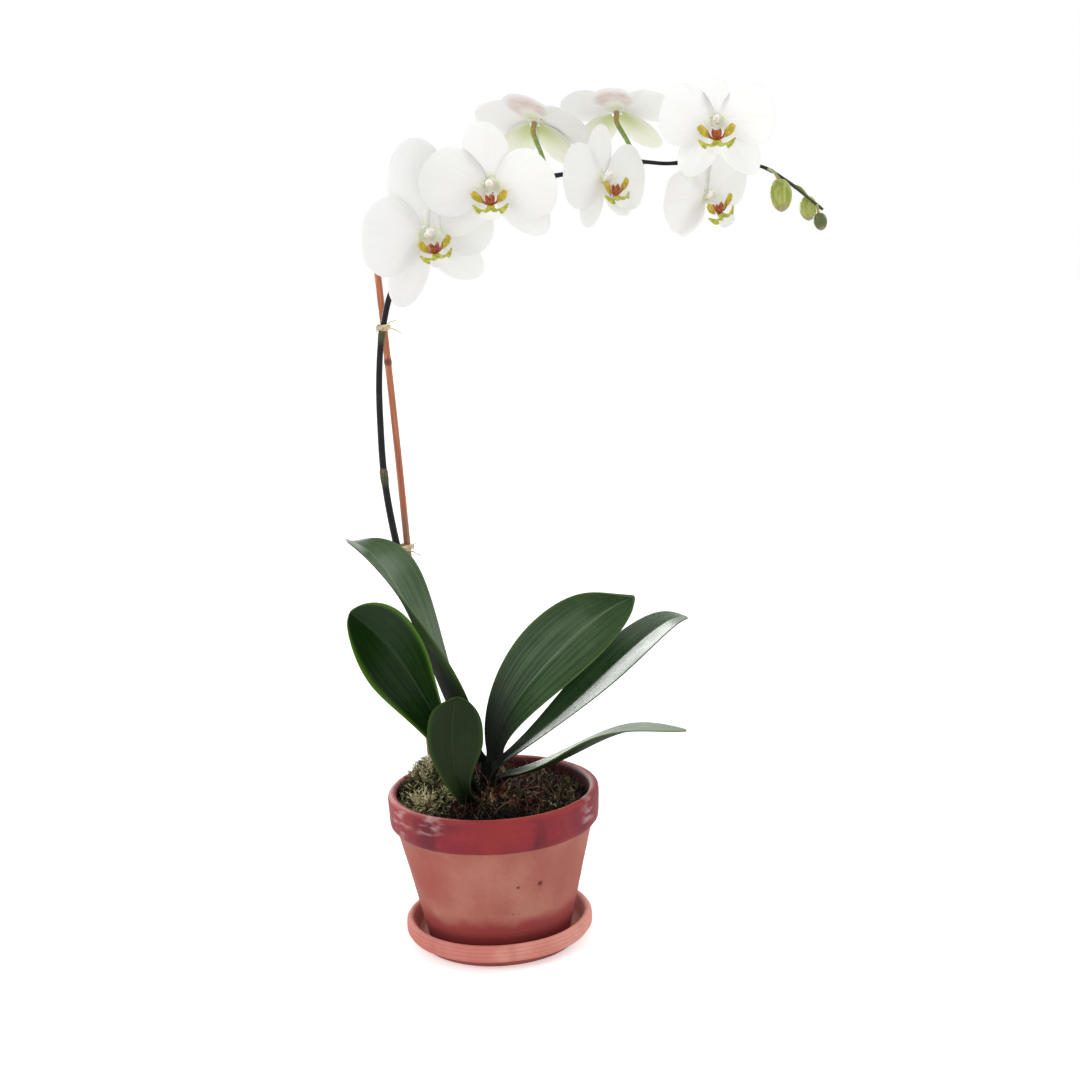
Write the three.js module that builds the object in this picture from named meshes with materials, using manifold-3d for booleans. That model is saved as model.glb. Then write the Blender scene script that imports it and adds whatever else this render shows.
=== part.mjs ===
// A potted moth orchid: a clay pot on its saucer, bark mix with moss, a stake with two ties, six leaves,
// and one arching flower spike with seven flowers and three buds. Millimetres, +Z up. The origin is the
// centre of the saucer's underside, and the front, where most of the flowers look, is -Y.
import * as THREE from "three";
import { mergeVertices } from "three/addons/utils/BufferGeometryUtils.js";
import Module from "manifold-3d";

const GAP = 0.3; // left between touching pieces
const RIM_RADIUS = 76; // a six-inch clay pot
const TURNED_SIDES = 36; // facets round the pot and saucer

const wasm = await Module();
wasm.setup();

const plant = new THREE.Group();
const vec = (x, y, z) => new THREE.Vector3(x, y, z);
const radians = THREE.MathUtils.degToRad;

// ---------------------------------------------------------------- shared ways of making a solid

function add(name, geometry, material) {
  const mesh = new THREE.Mesh(geometry, material);
  mesh.name = name;
  plant.add(mesh);
  return mesh;
}

function matte(color, roughness) {
  return new THREE.MeshStandardMaterial({ color, roughness, metalness: 0 });
}

// Joins closed geometries into one, or cuts the rest from the first.
function combine(how, geometries) {
  const solids = geometries.map((geometry) => {
    const bare = geometry.clone();
    bare.deleteAttribute("normal");
    bare.deleteAttribute("uv");
    const merged = mergeVertices(bare, 1e-3);
    return new wasm.Manifold(
      new wasm.Mesh({
        numProp: 3,
        vertProperties: merged.attributes.position.array,
        triVerts: new Uint32Array(merged.index.array),
      }),
    );
  });
  const mesh = solids.reduce((whole, piece) => whole[how](piece)).getMesh();
  const made = new THREE.BufferGeometry();
  made.setAttribute("position", new THREE.BufferAttribute(mesh.vertProperties, 3));
  made.setIndex(new THREE.BufferAttribute(mesh.triVerts, 1));
  made.computeVertexNormals();
  return made;
}

function fromTriangles(points, triangles) {
  const made = new THREE.BufferGeometry().setFromPoints(points);
  made.setIndex(triangles);
  made.computeVertexNormals();
  return made;
}

// A solid of revolution about Z from a closed or axis-to-axis list of [radius, height].
function turned(profile, sides = TURNED_SIDES) {
  const outline = profile.map(([radius, height]) => new THREE.Vector2(radius, height));
  return new THREE.LatheGeometry(outline, sides).rotateX(Math.PI / 2);
}

// A thin blade about surface(u, v), with u from 0 to 1 and v from -1 to 1. Its two faces meet at its rim,
// and it faces the way along x across points.
function blade(surface, alongCells, acrossCells, thickness) {
  const step = 1e-3;
  const points = [];
  const front = [];
  const rear = [];
  for (let i = 0; i <= alongCells; i++) {
    for (let j = 0; j <= acrossCells; j++) {
      const [u, v] = [i / alongCells, (2 * j) / acrossCells - 1];
      const atRim = i === 0 || i === alongCells || j === 0 || j === acrossCells;
      const along = surface(u + step, v).sub(surface(u - step, v));
      const across = surface(u, v + step).sub(surface(u, v - step));
      const half = along.cross(across).setLength(thickness / 2);
      front.push(points.push(atRim ? surface(u, v) : surface(u, v).add(half)) - 1);
      rear.push(atRim ? front.at(-1) : points.push(surface(u, v).sub(half)) - 1);
    }
  }
  const triangles = [];
  const columns = acrossCells + 1;
  for (let i = 0; i < alongCells; i++) {
    for (let j = 0; j < acrossCells; j++) {
      const first = i * columns + j;
      const corners = [first, first + columns, first + columns + 1, first + 1];
      // each cell is split towards the blade's middle, so that no triangle lies on the rim alone
      if (i < alongCells / 2 !== j < acrossCells / 2) corners.push(corners.shift());
      const [a, b, c, d] = corners;
      triangles.push(front[a], front[b], front[c], front[a], front[c], front[d]);
      triangles.push(rear[a], rear[c], rear[b], rear[a], rear[d], rear[c]);
    }
  }
  return fromTriangles(points, triangles);
}

// A round stem along a smooth curve through the points, with a radius for each share of its length.
function stem(points, radiusAt, steps, sides = 6) {
  const curve = new THREE.CatmullRomCurve3(points, false, "centripetal");
  const frames = curve.computeFrenetFrames(steps, false);
  const rings = [];
  const triangles = [];
  for (let i = 0; i <= steps; i++) {
    const centre = curve.getPointAt(i / steps);
    const radius = radiusAt(i / steps);
    for (let j = 0; j < sides; j++) {
      const turn = (2 * Math.PI * j) / sides;
      rings.push(
        centre
          .clone()
          .addScaledVector(frames.normals[i], radius * Math.cos(turn))
          .addScaledVector(frames.binormals[i], radius * Math.sin(turn)),
      );
    }
  }
  for (let i = 0; i < steps; i++) {
    for (let j = 0; j < sides; j++) {
      const [a, b] = [i * sides + j, i * sides + ((j + 1) % sides)];
      triangles.push(a, b, b + sides, a, b + sides, a + sides);
    }
  }
  rings.push(curve.getPointAt(0), curve.getPointAt(1));
  const [foot, tip, last] = [rings.length - 2, rings.length - 1, steps * sides];
  for (let j = 0; j < sides; j++) {
    triangles.push(foot, (j + 1) % sides, j, tip, last + j, last + ((j + 1) % sides));
  }
  return fromTriangles(rings, triangles);
}

// ---------------------------------------------------------------- saucer

const SAUCER = { footRadius: 57, rimRadius: 67.5, innerRadius: 62, height: 19, floor: 6, lip: 2.6 };

const saucerClay = matte(0xcf8173, 0.85);
add(
  "saucer",
  turned([
    [0, 0],
    [SAUCER.footRadius, 0],
    [SAUCER.footRadius + 2, 4.5],
    [SAUCER.rimRadius - 2, 7],
    [SAUCER.rimRadius, 10],
    [SAUCER.rimRadius, SAUCER.height - SAUCER.lip],
    [SAUCER.rimRadius - SAUCER.lip, SAUCER.height],
    [SAUCER.innerRadius, SAUCER.height - 1],
    [SAUCER.footRadius, SAUCER.floor],
    [0, SAUCER.floor],
  ]),
  saucerClay,
);

// ---------------------------------------------------------------- pot

const POT = {
  bottom: SAUCER.floor + GAP,
  footRadius: 52,
  drainRadius: 11,
  floor: 8,
  shoulder: 83, // where the rim's lower edge meets the wall
  shoulderRadius: 69.5,
  rimFoot: 91,
  top: 113,
  wall: 6,
  rimInner: 69,
};
const bodyInner = POT.shoulderRadius - POT.wall;

const bakedClay = matte(0xa8584f, 0.7);
add(
  "pot",
  turned([
    [POT.drainRadius, POT.bottom],
    [POT.footRadius, POT.bottom],
    [POT.shoulderRadius, POT.shoulder],
    [RIM_RADIUS - 2.5, POT.rimFoot - 2],
    [RIM_RADIUS - 1, POT.rimFoot + 2],
    [RIM_RADIUS, POT.top - 3],
    [RIM_RADIUS - 1.5, POT.top - 0.5],
    [RIM_RADIUS - 3.5, POT.top],
    [POT.rimInner, POT.top - 2],
    [POT.rimInner - 0.8, POT.rimFoot],
    [bodyInner, POT.shoulder],
    [POT.footRadius - POT.wall, POT.bottom + POT.floor],
    [POT.drainRadius, POT.bottom + POT.floor],
    [POT.drainRadius, POT.bottom],
  ]),
  bakedClay,
);

// ---------------------------------------------------------------- stake, of split bamboo, and its two ties

const STAKE = { foot: vec(-43, 36, 70), top: vec(-62.5, 20, 490), radius: 2.6 };
const stakeAt = (height) => {
  const share = (height - STAKE.foot.z) / (STAKE.top.z - STAKE.foot.z);
  return STAKE.foot.clone().lerp(STAKE.top, share);
};
const stakeRod = (radius) => stem([STAKE.foot, stakeAt(200), stakeAt(350), STAKE.top], () => radius, 6, 8);
add("stake", stakeRod(STAKE.radius), matte(0xb5654a, 0.6));

// ---------------------------------------------------------------- potting mix and moss

const MIX = { rimHeight: 103, moundHeight: 9, moundSpread: 34, topRings: 6, sides: 24 };

// The lumpy top of the bark mix, higher round the crown.
function mixHeight(x, y) {
  const mound = MIX.moundHeight * Math.exp(-(x * x + y * y) / MIX.moundSpread ** 2);
  const lumps = 0.9 * Math.sin(x / 6.1 + 1) * Math.cos(y / 5.3) + 0.7 * Math.sin((x + y) / 9.7);
  return MIX.rimHeight + mound + lumps;
}

function mixBody() {
  const floor = POT.bottom + POT.floor + GAP;
  const topRadius = POT.rimInner - 2;
  const profile = [
    [0, floor],
    [POT.footRadius - POT.wall - GAP - 0.3, floor],
    [bodyInner - GAP - 0.5, POT.shoulder],
    [topRadius, POT.rimFoot],
  ];
  for (let ring = 0; ring <= MIX.topRings; ring++) {
    profile.push([topRadius * (1 - ring / MIX.topRings), MIX.rimHeight]);
  }
  const body = turned(profile, MIX.sides);
  const place = body.attributes.position;
  for (let i = 0; i < place.count; i++) {
    if (place.getZ(i) > POT.rimFoot + 1) place.setZ(i, mixHeight(place.getX(i), place.getY(i)));
  }
  return body;
}

const CROWN = { centre: vec(-4, 5, 0), radius: 8, foot: 96, top: 130 };
const crownStem = (grow) =>
  stem(
    [CROWN.foot, 112, 121, CROWN.top].map((z) => vec(CROWN.centre.x, CROWN.centre.y, z)),
    (share) => CROWN.radius - 4 * share + grow,
    4,
    8,
  );

add(
  "potting_mix",
  combine("subtract", [mixBody(), stakeRod(STAKE.radius + GAP), crownStem(GAP)]),
  matte(0x2a1d1c, 0.95),
);

const MOSS = { centre: [-45, 6], reach: [19, 36], height: 19, rings: 4, sides: 18 };

// A heap of moss on the mix at the left: a lens of height field, cut round the stake.
function mossHeap() {
  const points = [];
  const triangles = [];
  const total = MOSS.rings * MOSS.sides + 1;
  for (const top of [true, false]) {
    for (let ring = 0; ring <= MOSS.rings; ring++) {
      for (let k = 0; k < (ring ? MOSS.sides : 1); k++) {
        const share = ring / MOSS.rings;
        const turn = (2 * Math.PI * k) / MOSS.sides;
        const x = MOSS.centre[0] + MOSS.reach[0] * share * Math.cos(turn);
        const y = MOSS.centre[1] + MOSS.reach[1] * share * Math.sin(turn);
        const lump = 1 + 0.16 * Math.sin(3 * turn + 4 * share);
        const rise = MOSS.height * (1 - share ** 2.2) * lump;
        points.push(vec(x, y, mixHeight(x, y) + GAP + 0.5 + (top ? 0.8 + rise : 0)));
      }
    }
  }
  const at = (top, ring, k) => {
    const face = top ? 0 : total;
    return ring ? face + 1 + (ring - 1) * MOSS.sides + (k % MOSS.sides) : face;
  };
  for (let k = 0; k < MOSS.sides; k++) {
    triangles.push(at(true, 0, 0), at(true, 1, k), at(true, 1, k + 1));
    triangles.push(at(false, 0, 0), at(false, 1, k + 1), at(false, 1, k));
    for (let ring = 1; ring < MOSS.rings; ring++) {
      const [a, b] = [at(true, ring, k), at(true, ring, k + 1)];
      const [c, d] = [at(true, ring + 1, k), at(true, ring + 1, k + 1)];
      triangles.push(a, c, d, a, d, b);
      triangles.push(a + total, d + total, c + total, a + total, b + total, d + total);
    }
    const [a, b] = [at(true, MOSS.rings, k), at(true, MOSS.rings, k + 1)];
    triangles.push(a, a + total, b + total, a, b + total, b);
  }
  return fromTriangles(points, triangles);
}

add("moss_heap", combine("subtract", [mossHeap(), stakeRod(STAKE.radius + GAP)]), matte(0x7d7a48, 0.95));

// ---------------------------------------------------------------- leaves

const LEAF = { thickness: 1.6, widest: 0.58, baseShare: 0.24, taper: 1.35, alongCells: 11, acrossCells: 6 };

// A leaf's half width at u, as a share of its widest: a clasping base, a long belly and a blunt tip.
function leafBreadth(u, taper) {
  if (u < LEAF.widest) {
    const rise = Math.sin((Math.PI / 2) * Math.max(0, u / LEAF.widest)) ** taper;
    return LEAF.baseShare + (1 - LEAF.baseShare) * rise;
  }
  const past = Math.min(1, (u - LEAF.widest) / (1 - LEAF.widest));
  return Math.max(0.04, 1 - past ** 2.3) ** 0.62;
}

// spine: four points of a Bezier curve. heading: the way the leaf leaves the crown, in degrees from +X.
// roll: the blade's lean about its spine at base and tip. fold: each half's rise from flat at base and tip.
// taper: how slowly it widens from its base, where that isn't the usual.
const LEAVES = {
  leaf_upper_left: {
    spine: [[-12, 8, 136], [-38, 5.5, 180], [-51, -47, 293], [-92, -3, 297]],
    heading: 223,
    roll: [-16, -71],
    halfWidth: 30,
    fold: [37, 18],
    taper: 0.8,
  },
  leaf_lower_left: {
    spine: [[-17, -11, 127], [-56, -9.5, 204], [-61, -9.5, 223], [-95, -2.5, 246]],
    heading: 139,
    roll: [-78, -40],
    halfWidth: 29.5,
    fold: [49, 27],
  },
  leaf_front: {
    spine: [[-16, -26, 112], [-31, -69, 133], [-28, -32, 177], [-22, -43, 192]],
    heading: -230,
    roll: [-11, -18],
    halfWidth: 22,
    fold: [33, 10],
    taper: 3,
  },
  leaf_upper_right: {
    spine: [[4, 3, 138], [4, 1, 174], [82, 34, 233], [104, -24, 252]],
    heading: 13,
    roll: [45, 68],
    halfWidth: 31,
    fold: [28, 42],
  },
  leaf_middle_right: {
    spine: [[8, 1, 131], [70, 8, 170], [120, -13, 237], [143, -1, 230]],
    heading: 21,
    roll: [19, 3],
    halfWidth: 20,
    fold: [23, 7],
  },
  leaf_lower_right: {
    spine: [[15, -5, 122], [69, -2, 130], [84, 3, 161], [141, 1, 146]],
    heading: -31,
    roll: [7, -10],
    halfWidth: 22,
    fold: [24, -4],
  },
};

function leafSurface({ spine, heading, roll, halfWidth, fold, taper = LEAF.taper }) {
  const curve = new THREE.CubicBezierCurve3(...spine.map((p) => vec(...p)));
  const level = vec(-Math.sin(radians(heading)), Math.cos(radians(heading)), 0);
  return (u, v) => {
    const along = THREE.MathUtils.clamp(u, 0, 1);
    const tangent = curve.getTangent(along);
    const side = level.clone().addScaledVector(tangent, -level.dot(tangent)).normalize();
    const up = tangent.clone().cross(side);
    const lean = radians(roll[0] + (roll[1] - roll[0]) * u);
    const across = side.clone().multiplyScalar(Math.cos(lean)).addScaledVector(up, Math.sin(lean));
    const above = up.multiplyScalar(Math.cos(lean)).addScaledVector(side, -Math.sin(lean));
    const reach = Math.abs(v);
    const rise = radians(fold[0] + (fold[1] - fold[0]) * u) * (0.35 + 0.65 * Math.sqrt(reach));
    const half = halfWidth * leafBreadth(along, taper);
    return curve
      .getPoint(along)
      .addScaledVector(tangent, (u - along) * 100)
      .addScaledVector(across, half * v * Math.cos(rise))
      .addScaledVector(above, half * reach * Math.sin(rise));
  };
}

const leafGreen = matte(0x2f4a2c, 0.4);
for (const [name, leaf] of Object.entries(LEAVES)) {
  add(name, blade(leafSurface(leaf), LEAF.alongCells, LEAF.acrossCells, LEAF.thickness), leafGreen);
}

// ---------------------------------------------------------------- flowers

// Each flower: its middle, the way it looks (azimuth from the front towards +X, and elevation), its lean
// about that axis, its size, how large its dorsal and its side sepals are next to the usual, how its petals,
// dorsal sepal and side sepals tilt forwards, the angles from the top of its two petals and two side sepals,
// and how far along +X its stalk leaves the spike. The two that look away show their backs.
const FLOWERS = [
  {
    at: [-26, -8, 504],
    look: [26, -10],
    lean: -11,
    size: 1.06,
    sepals: [1.14, 0.96],
    tilt: [8, 4, 5],
    turns: [-78, 78, -144, 134],
    stalkX: -36,
  },
  {
    at: [18.6, -24, 535],
    look: [-12, -20],
    lean: 0,
    size: 0.97,
    sepals: [0.86, 1],
    tilt: [20, 18, 6],
    turns: [-78, 86, -131, 134],
    stalkX: 9,
  },
  {
    at: [52, 35, 580],
    look: [148, 56],
    lean: -16,
    size: 0.86,
    sepals: [1, 1],
    tilt: [-9, -12, -9],
    turns: [-84, 78, -145, 145],
    stalkX: 58,
  },
  {
    at: [94, -15, 535.5],
    look: [43, 0],
    lean: -6,
    size: 0.87,
    sepals: [0.75, 0.8],
    tilt: [4, 8, 2],
    turns: [-78, 92, -142, 132],
    stalkX: 84,
  },
  {
    at: [109, 35, 585],
    look: [163, 63],
    lean: -6,
    size: 0.84,
    sepals: [1, 1],
    tilt: [0, -11, -13],
    turns: [-78, 78, -138, 140],
    stalkX: 119,
  },
  {
    at: [164.5, -7, 521.7],
    look: [37, -8],
    lean: -20,
    size: 0.84,
    sepals: [0.72, 0.74],
    tilt: [0, 0, -6],
    turns: [-78, 78, -125, 130],
    stalkX: 150,
  },
  {
    at: [167.5, -38, 569.5],
    look: [-12, -15],
    lean: 0,
    size: 0.81,
    sepals: [0.62, 1.06],
    tilt: [12, 15, 3],
    turns: [-76, 80, -146, 146],
    stalkX: 172,
  },
];

// The five tepals: length, width, how far the tip bends back, and how far the edges fall back. A tepal's
// layer is how far in front of the flower's middle it is set.
const PETAL = { length: 44, width: 53, recurve: 0.04, cup: 0.06 };
const SEPAL = { length: 47, width: 28, recurve: 0.03, cup: 0.05 };
const DORSAL = { length: 51, width: 37, recurve: 0.04, cup: 0.05 };
const scaled = (tepal, share) => ({ ...tepal, length: tepal.length * share, width: tepal.width * share });
const tepalsOf = ({ sepals: [crown, skirt], tilt: [petals, dorsal, sides], turns }) => ({
  dorsal_sepal: { ...scaled(DORSAL, crown), turn: 0, tilt: dorsal, layer: -2 },
  left_sepal: { ...scaled(SEPAL, skirt), turn: turns[2], tilt: sides, layer: -2 },
  right_sepal: { ...scaled(SEPAL, skirt), turn: turns[3], tilt: sides, layer: -3.4 },
  left_petal: { ...PETAL, turn: turns[0], tilt: petals, layer: 0.6 },
  right_petal: { ...PETAL, turn: turns[1], tilt: petals, layer: 0.6 },
});
const TEPAL = { thickness: 0.9, clawRadius: 4, clawHalf: 1.8, spread: 78, alongCells: 3, acrossCells: 6 };

// A tepal spreads like a fan from its claw. Its outline is an ellipse through the claw, in polar form,
// drawn in at the shoulders.
function tepalSurface(tepal, size) {
  const [a, b] = [tepal.length / 2, tepal.width / 2];
  return (u, v) => {
    const angle = radians(TEPAL.spread) * v;
    const [c, s] = [Math.cos(angle), Math.sin(angle)];
    const edge = ((2 * a * b * b * c) / (b * b * c * c + a * a * s * s)) * (1 - 0.4 * Math.abs(s) ** 7);
    const reach = 0.05 + 0.95 * u;
    const along = edge * reach * c;
    const across = edge * reach * s + TEPAL.clawHalf * v * (1 - reach);
    const [far, wide] = [along / tepal.length, across / b];
    const forward =
      tepal.layer +
      along * Math.tan(radians(tepal.tilt)) -
      tepal.recurve * tepal.length * far * far -
      tepal.cup * tepal.length * wide * wide * far;
    return vec(across, along + TEPAL.clawRadius, forward).multiplyScalar(size);
  };
}

// The flower's own frame: x to the viewer's right, y towards the dorsal sepal, z the way it looks.
function flowerFrame({ at, look: [azimuth, elevation], lean }) {
  const frame = new THREE.Matrix4().makeTranslation(...at);
  const turns = [
    new THREE.Matrix4().makeRotationZ(radians(azimuth)),
    new THREE.Matrix4().makeRotationX(radians(90 - elevation)),
    new THREE.Matrix4().makeRotationZ(radians(-lean)),
  ];
  return turns.reduce((whole, turn) => whole.multiply(turn), frame);
}

// The lip: a middle lobe like an anchor that runs out and down, and a lobe standing up on each side of it.
const LIP = {
  root: [0, -4.6, 2.4],
  thickness: 1.2,
  reach: 19, // how far the middle lobe runs forwards
  drop: 11, // and down
  halfWidth: 9,
  sideRise: 6.5,
  sideSpread: 10.5,
  callus: 2.6,
};

function lipMiddle(u, v) {
  const along = Math.max(u, 0);
  const swell = Math.sin(Math.PI * Math.min(1, along) ** 0.8) ** 2;
  const half = 2 + LIP.halfWidth * swell * (1 - 0.25 * along);
  const down = LIP.drop * Math.sin((Math.PI / 2) * Math.min(1.1, along * 1.25));
  const [x, y, z] = LIP.root;
  return vec(x + half * v, y - down + 2.5 * v * v * along, z + LIP.reach * along);
}

function lipSide(hand) {
  const [x, y, z] = LIP.root;
  return (u, v) => {
    const along = Math.max(u, 0);
    const half = 1.6 + 3.2 * Math.sin((Math.PI / 2) * along ** 1.2);
    const out = 1.5 + LIP.sideSpread * along ** 1.2;
    const up = LIP.sideRise * along ** 0.9 - 2.4;
    return vec(x + hand * out, y + up, z + 3.5 + 3 * along + hand * half * v);
  };
}

function lip() {
  const callus = new THREE.SphereGeometry(LIP.callus, 6, 4).scale(1, 0.8, 1.2);
  callus.translate(LIP.root[0], LIP.root[1] - 1.2, LIP.root[2] + 4.6);
  return combine("add", [
    callus,
    blade(lipMiddle, 5, 4, LIP.thickness),
    blade(lipSide(1), 3, 2, LIP.thickness),
    blade(lipSide(-1), 3, 2, LIP.thickness),
  ]);
}

const petalWhite = matte(0xf4f5f0, 0.5);
const lipYellow = matte(0xc9b83a, 0.45);
FLOWERS.forEach((flower, index) => {
  const frame = flowerFrame(flower);
  const label = `flower_${index + 1}`;
  for (const [name, tepal] of Object.entries(tepalsOf(flower))) {
    const surface = tepalSurface(tepal, flower.size);
    const piece = blade(surface, TEPAL.alongCells, TEPAL.acrossCells, TEPAL.thickness);
    piece.rotateZ(radians(-tepal.turn));
    add(`${label}_${name}`, piece.applyMatrix4(frame), petalWhite);
  }
  add(`${label}_lip`, lip().applyMatrix4(frame), lipYellow);
});

// ---------------------------------------------------------------- flower spike, its stalks and the buds

// The spike leaves the crown behind the left leaves, runs up beside the stake and arches over to the right.
const SPIKE = [
  [-6, 11, 122], [-15, 23.4, 150], [-26, 27.5, 178], [-37, 27, 206], [-47, 25, 234], [-54.5, 21.5, 263],
  [-60.5, 18, 293], [-65.5, 14, 337], [-66, 12, 379], [-65, 11, 407], [-62, 11, 435], [-59.5, 11, 446],
  [-54, 12, 465], [-46, 14, 479], [-34, 16, 494], [-14, 18, 513], [14, 18, 530], [39, 18, 538],
  [64, 18, 541], [94, 18, 545], [119, 18, 548], [141, 20, 546], [163, 23, 547], [184, 24, 546],
  [207, 19, 541], [223, 11, 530], [236, 5, 518], [245, 2, 510],
].map((point) => vec(...point));
const spikeCurve = new THREE.CatmullRomCurve3(SPIKE, false, "centripetal");
const SPIKE_RADIUS = { foot: 2.9, tip: 0.9, steps: 52 };
const spikeRadius = (share) => SPIKE_RADIUS.foot + (SPIKE_RADIUS.tip - SPIKE_RADIUS.foot) * share ** 1.3;

// The first place on the spike, going up, that passes a test.
function spikeWhere(test) {
  const samples = 600;
  for (let i = 0; i <= samples; i++) {
    const place = spikeCurve.getPointAt(i / samples);
    if (test(place)) return place;
  }
  return SPIKE.at(-1).clone();
}
const ARCH_HEIGHT = 460; // above this the spike only runs to the right

const STALK = { radius: 1.7, columnRadius: 2.6, columnLength: 9, behind: 15 };

// A stalk rises from the spike into the back of its flower and ends in the column at the flower's middle.
function stalk(flower) {
  const frame = flowerFrame(flower);
  const point = (x, y, z) => vec(x, y, z).applyMatrix4(frame);
  const root = spikeWhere((place) => place.z > ARCH_HEIGHT && place.x >= flower.stalkX);
  const behind = point(0, -3, -STALK.behind);
  const bend = root.clone().lerp(behind, 0.5).add(vec(0, 2, 2));
  const route = [root, bend, behind, point(0, -0.8, -5), point(0, 0, 0.5)];
  const green = stem(route, () => STALK.radius, 6, 5);
  const nose = point(0, -0.6, STALK.columnLength);
  const column = stem([point(0, 0, -1), point(0, 0, 4), nose], () => STALK.columnRadius, 2);
  return [green, column];
}

// Each bud hangs by its neck: the places of its lower and upper ends, its radius, and where its neck starts.
const BUDS = [
  { tip: [216.5, 0, 509.5], top: [215, 2, 532], radius: 8, neckX: 210 },
  { tip: [238, 14, 503], top: [236.5, 13, 520], radius: 6.4, neckX: 226 },
  { tip: [242, -8, 496], top: [240, -6, 508], radius: 5, neckX: 241 },
];

function budShape({ tip, top, radius, neckX }) {
  const [low, high] = [vec(...tip), vec(...top)];
  const length = low.distanceTo(high);
  const outline = [[0, 0], [0.55, 0.06], [0.9, 0.28], [1, 0.5], [0.82, 0.78], [0.34, 0.97], [0, 1]];
  const solid = turned(outline.map(([across, along]) => [across * radius, along * length]), 10);
  const axis = high.clone().sub(low).normalize();
  solid.applyQuaternion(new THREE.Quaternion().setFromUnitVectors(vec(0, 0, 1), axis));
  solid.translate(low.x, low.y, low.z);
  const root = spikeWhere((place) => place.z > ARCH_HEIGHT && place.x >= neckX);
  const end = high.clone().addScaledVector(axis, GAP + 0.2);
  const bend = root.clone().lerp(end, 0.5).addScaledVector(axis, 1);
  return { solid, neck: stem([root, bend, end], () => 1, 3, 5) };
}

const buds = BUDS.map(budShape);
const grown = [
  stem(SPIKE, spikeRadius, SPIKE_RADIUS.steps),
  crownStem(0),
  ...FLOWERS.flatMap(stalk),
  ...buds.map((bud) => bud.neck),
];
add("flower_spike", combine("add", grown), matte(0x2a2628, 0.45));

const budGreen = matte(0x9bb356, 0.45);
buds.forEach(({ solid }, index) => add(`bud_${index + 1}`, solid, budGreen));

// Raffia, wound round the spike and the stake together.
const TIE = { slack: 1.2, thickness: 1.2, breadth: 3.2 };

function tie(height) {
  const stakeSpot = stakeAt(height);
  const spikeSpot = spikeWhere((place) => place.z >= height);
  const angle = Math.atan2(stakeSpot.y - spikeSpot.y, stakeSpot.x - spikeSpot.x);
  const outline = (radius) => {
    const path = new THREE.Shape();
    path.absarc(spikeSpot.x, spikeSpot.y, radius, angle + 0.5 * Math.PI, angle + 1.5 * Math.PI);
    path.absarc(stakeSpot.x, stakeSpot.y, radius, angle - 0.5 * Math.PI, angle + 0.5 * Math.PI);
    path.closePath();
    return path;
  };
  const inner = STAKE.radius + TIE.slack;
  const band = outline(inner + TIE.thickness);
  band.holes.push(outline(inner));
  const cut = { depth: TIE.breadth, bevelEnabled: false, curveSegments: 5 };
  const wound = new THREE.ExtrudeGeometry(band, cut);
  return wound.translate(0, 0, height - TIE.breadth / 2);
}

const raffia = matte(0xd8c7a0, 0.8);
add("upper_tie", tie(443), raffia);
add("lower_tie", tie(286), raffia);

export default plant;
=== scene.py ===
import math
import random

import bpy
import numpy as np
from mathutils import Matrix, Vector, noise


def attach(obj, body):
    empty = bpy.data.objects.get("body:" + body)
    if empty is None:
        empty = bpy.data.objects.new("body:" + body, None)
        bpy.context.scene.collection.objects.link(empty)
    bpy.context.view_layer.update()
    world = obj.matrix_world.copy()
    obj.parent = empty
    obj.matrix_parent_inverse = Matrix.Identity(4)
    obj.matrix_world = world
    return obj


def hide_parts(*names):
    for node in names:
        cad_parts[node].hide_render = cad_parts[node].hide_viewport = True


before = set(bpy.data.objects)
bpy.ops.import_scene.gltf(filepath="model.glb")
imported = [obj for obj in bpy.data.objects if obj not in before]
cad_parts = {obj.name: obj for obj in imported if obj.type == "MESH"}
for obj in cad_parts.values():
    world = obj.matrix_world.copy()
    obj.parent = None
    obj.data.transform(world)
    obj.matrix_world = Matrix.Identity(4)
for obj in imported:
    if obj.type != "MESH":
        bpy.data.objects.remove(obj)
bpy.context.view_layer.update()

scene = bpy.context.scene

# ---------------------------------------------------------------- studio
# A plain white table under a pale sweep that glows from behind and above. Two wide soft boxes light the plant
# from the upper left and right, and a third behind it only shows as gloss on the leaves.

SOFT_BOXES = (  # place, watts, side, and whether it only shows as gloss
    ((-1.6, -1.5, 1.9), 18.5, 1.2, False),
    ((1.8, 0.4, 1.5), 8.5, 1.2, False),
    ((-0.85, 1.7, 0.85), 36, 1.3, True),
)
AIM = Vector((0.03, 0, 0.3))
FRONT_GLOW, BACK_GLOW, TOP_GLOW = 0.74, 1.7, 0.6
CAMERA_PLACE = (0, -1.140, 0.494)
CAMERA_TURN = (79.8906, 2.4612, -2.5187)
LENS = 55  # in millimetres
FAR = 30  # in metres
TABLE_REACH = 14


def paint(code):
    """A colour written as 0xRRGGBB, in the linear numbers that shaders use."""
    channels = [(code >> shift & 255) / 255 for shift in (16, 8, 0)]
    return (*[c / 12.92 if c < 0.04045 else ((c + 0.055) / 1.055) ** 2.4 for c in channels], 1.0)


def node(tree, kind, inputs=None, **settings):
    """A node with its settings, whose inputs are given as values or as the outputs that feed them."""
    made = tree.nodes.new(kind)
    for key, value in settings.items():
        setattr(made, key, value)
    for key, value in (inputs or {}).items():
        if isinstance(value, bpy.types.NodeSocket):
            tree.links.new(value, made.inputs[key])
        else:
            made.inputs[key].default_value = value
    return made


def band(tree, value, low, high, to_low=0.0, to_high=1.0):
    """A soft step as the value goes from low to high."""
    inputs = dict(enumerate((value, low, high, to_low, to_high)))
    return node(tree, "ShaderNodeMapRange", inputs, interpolation_type="SMOOTHSTEP").outputs[0]


def axes(tree, place):
    """The three numbers of a place, named X, Y and Z."""
    return node(tree, "ShaderNodeSeparateXYZ", {0: place}).outputs


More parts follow.
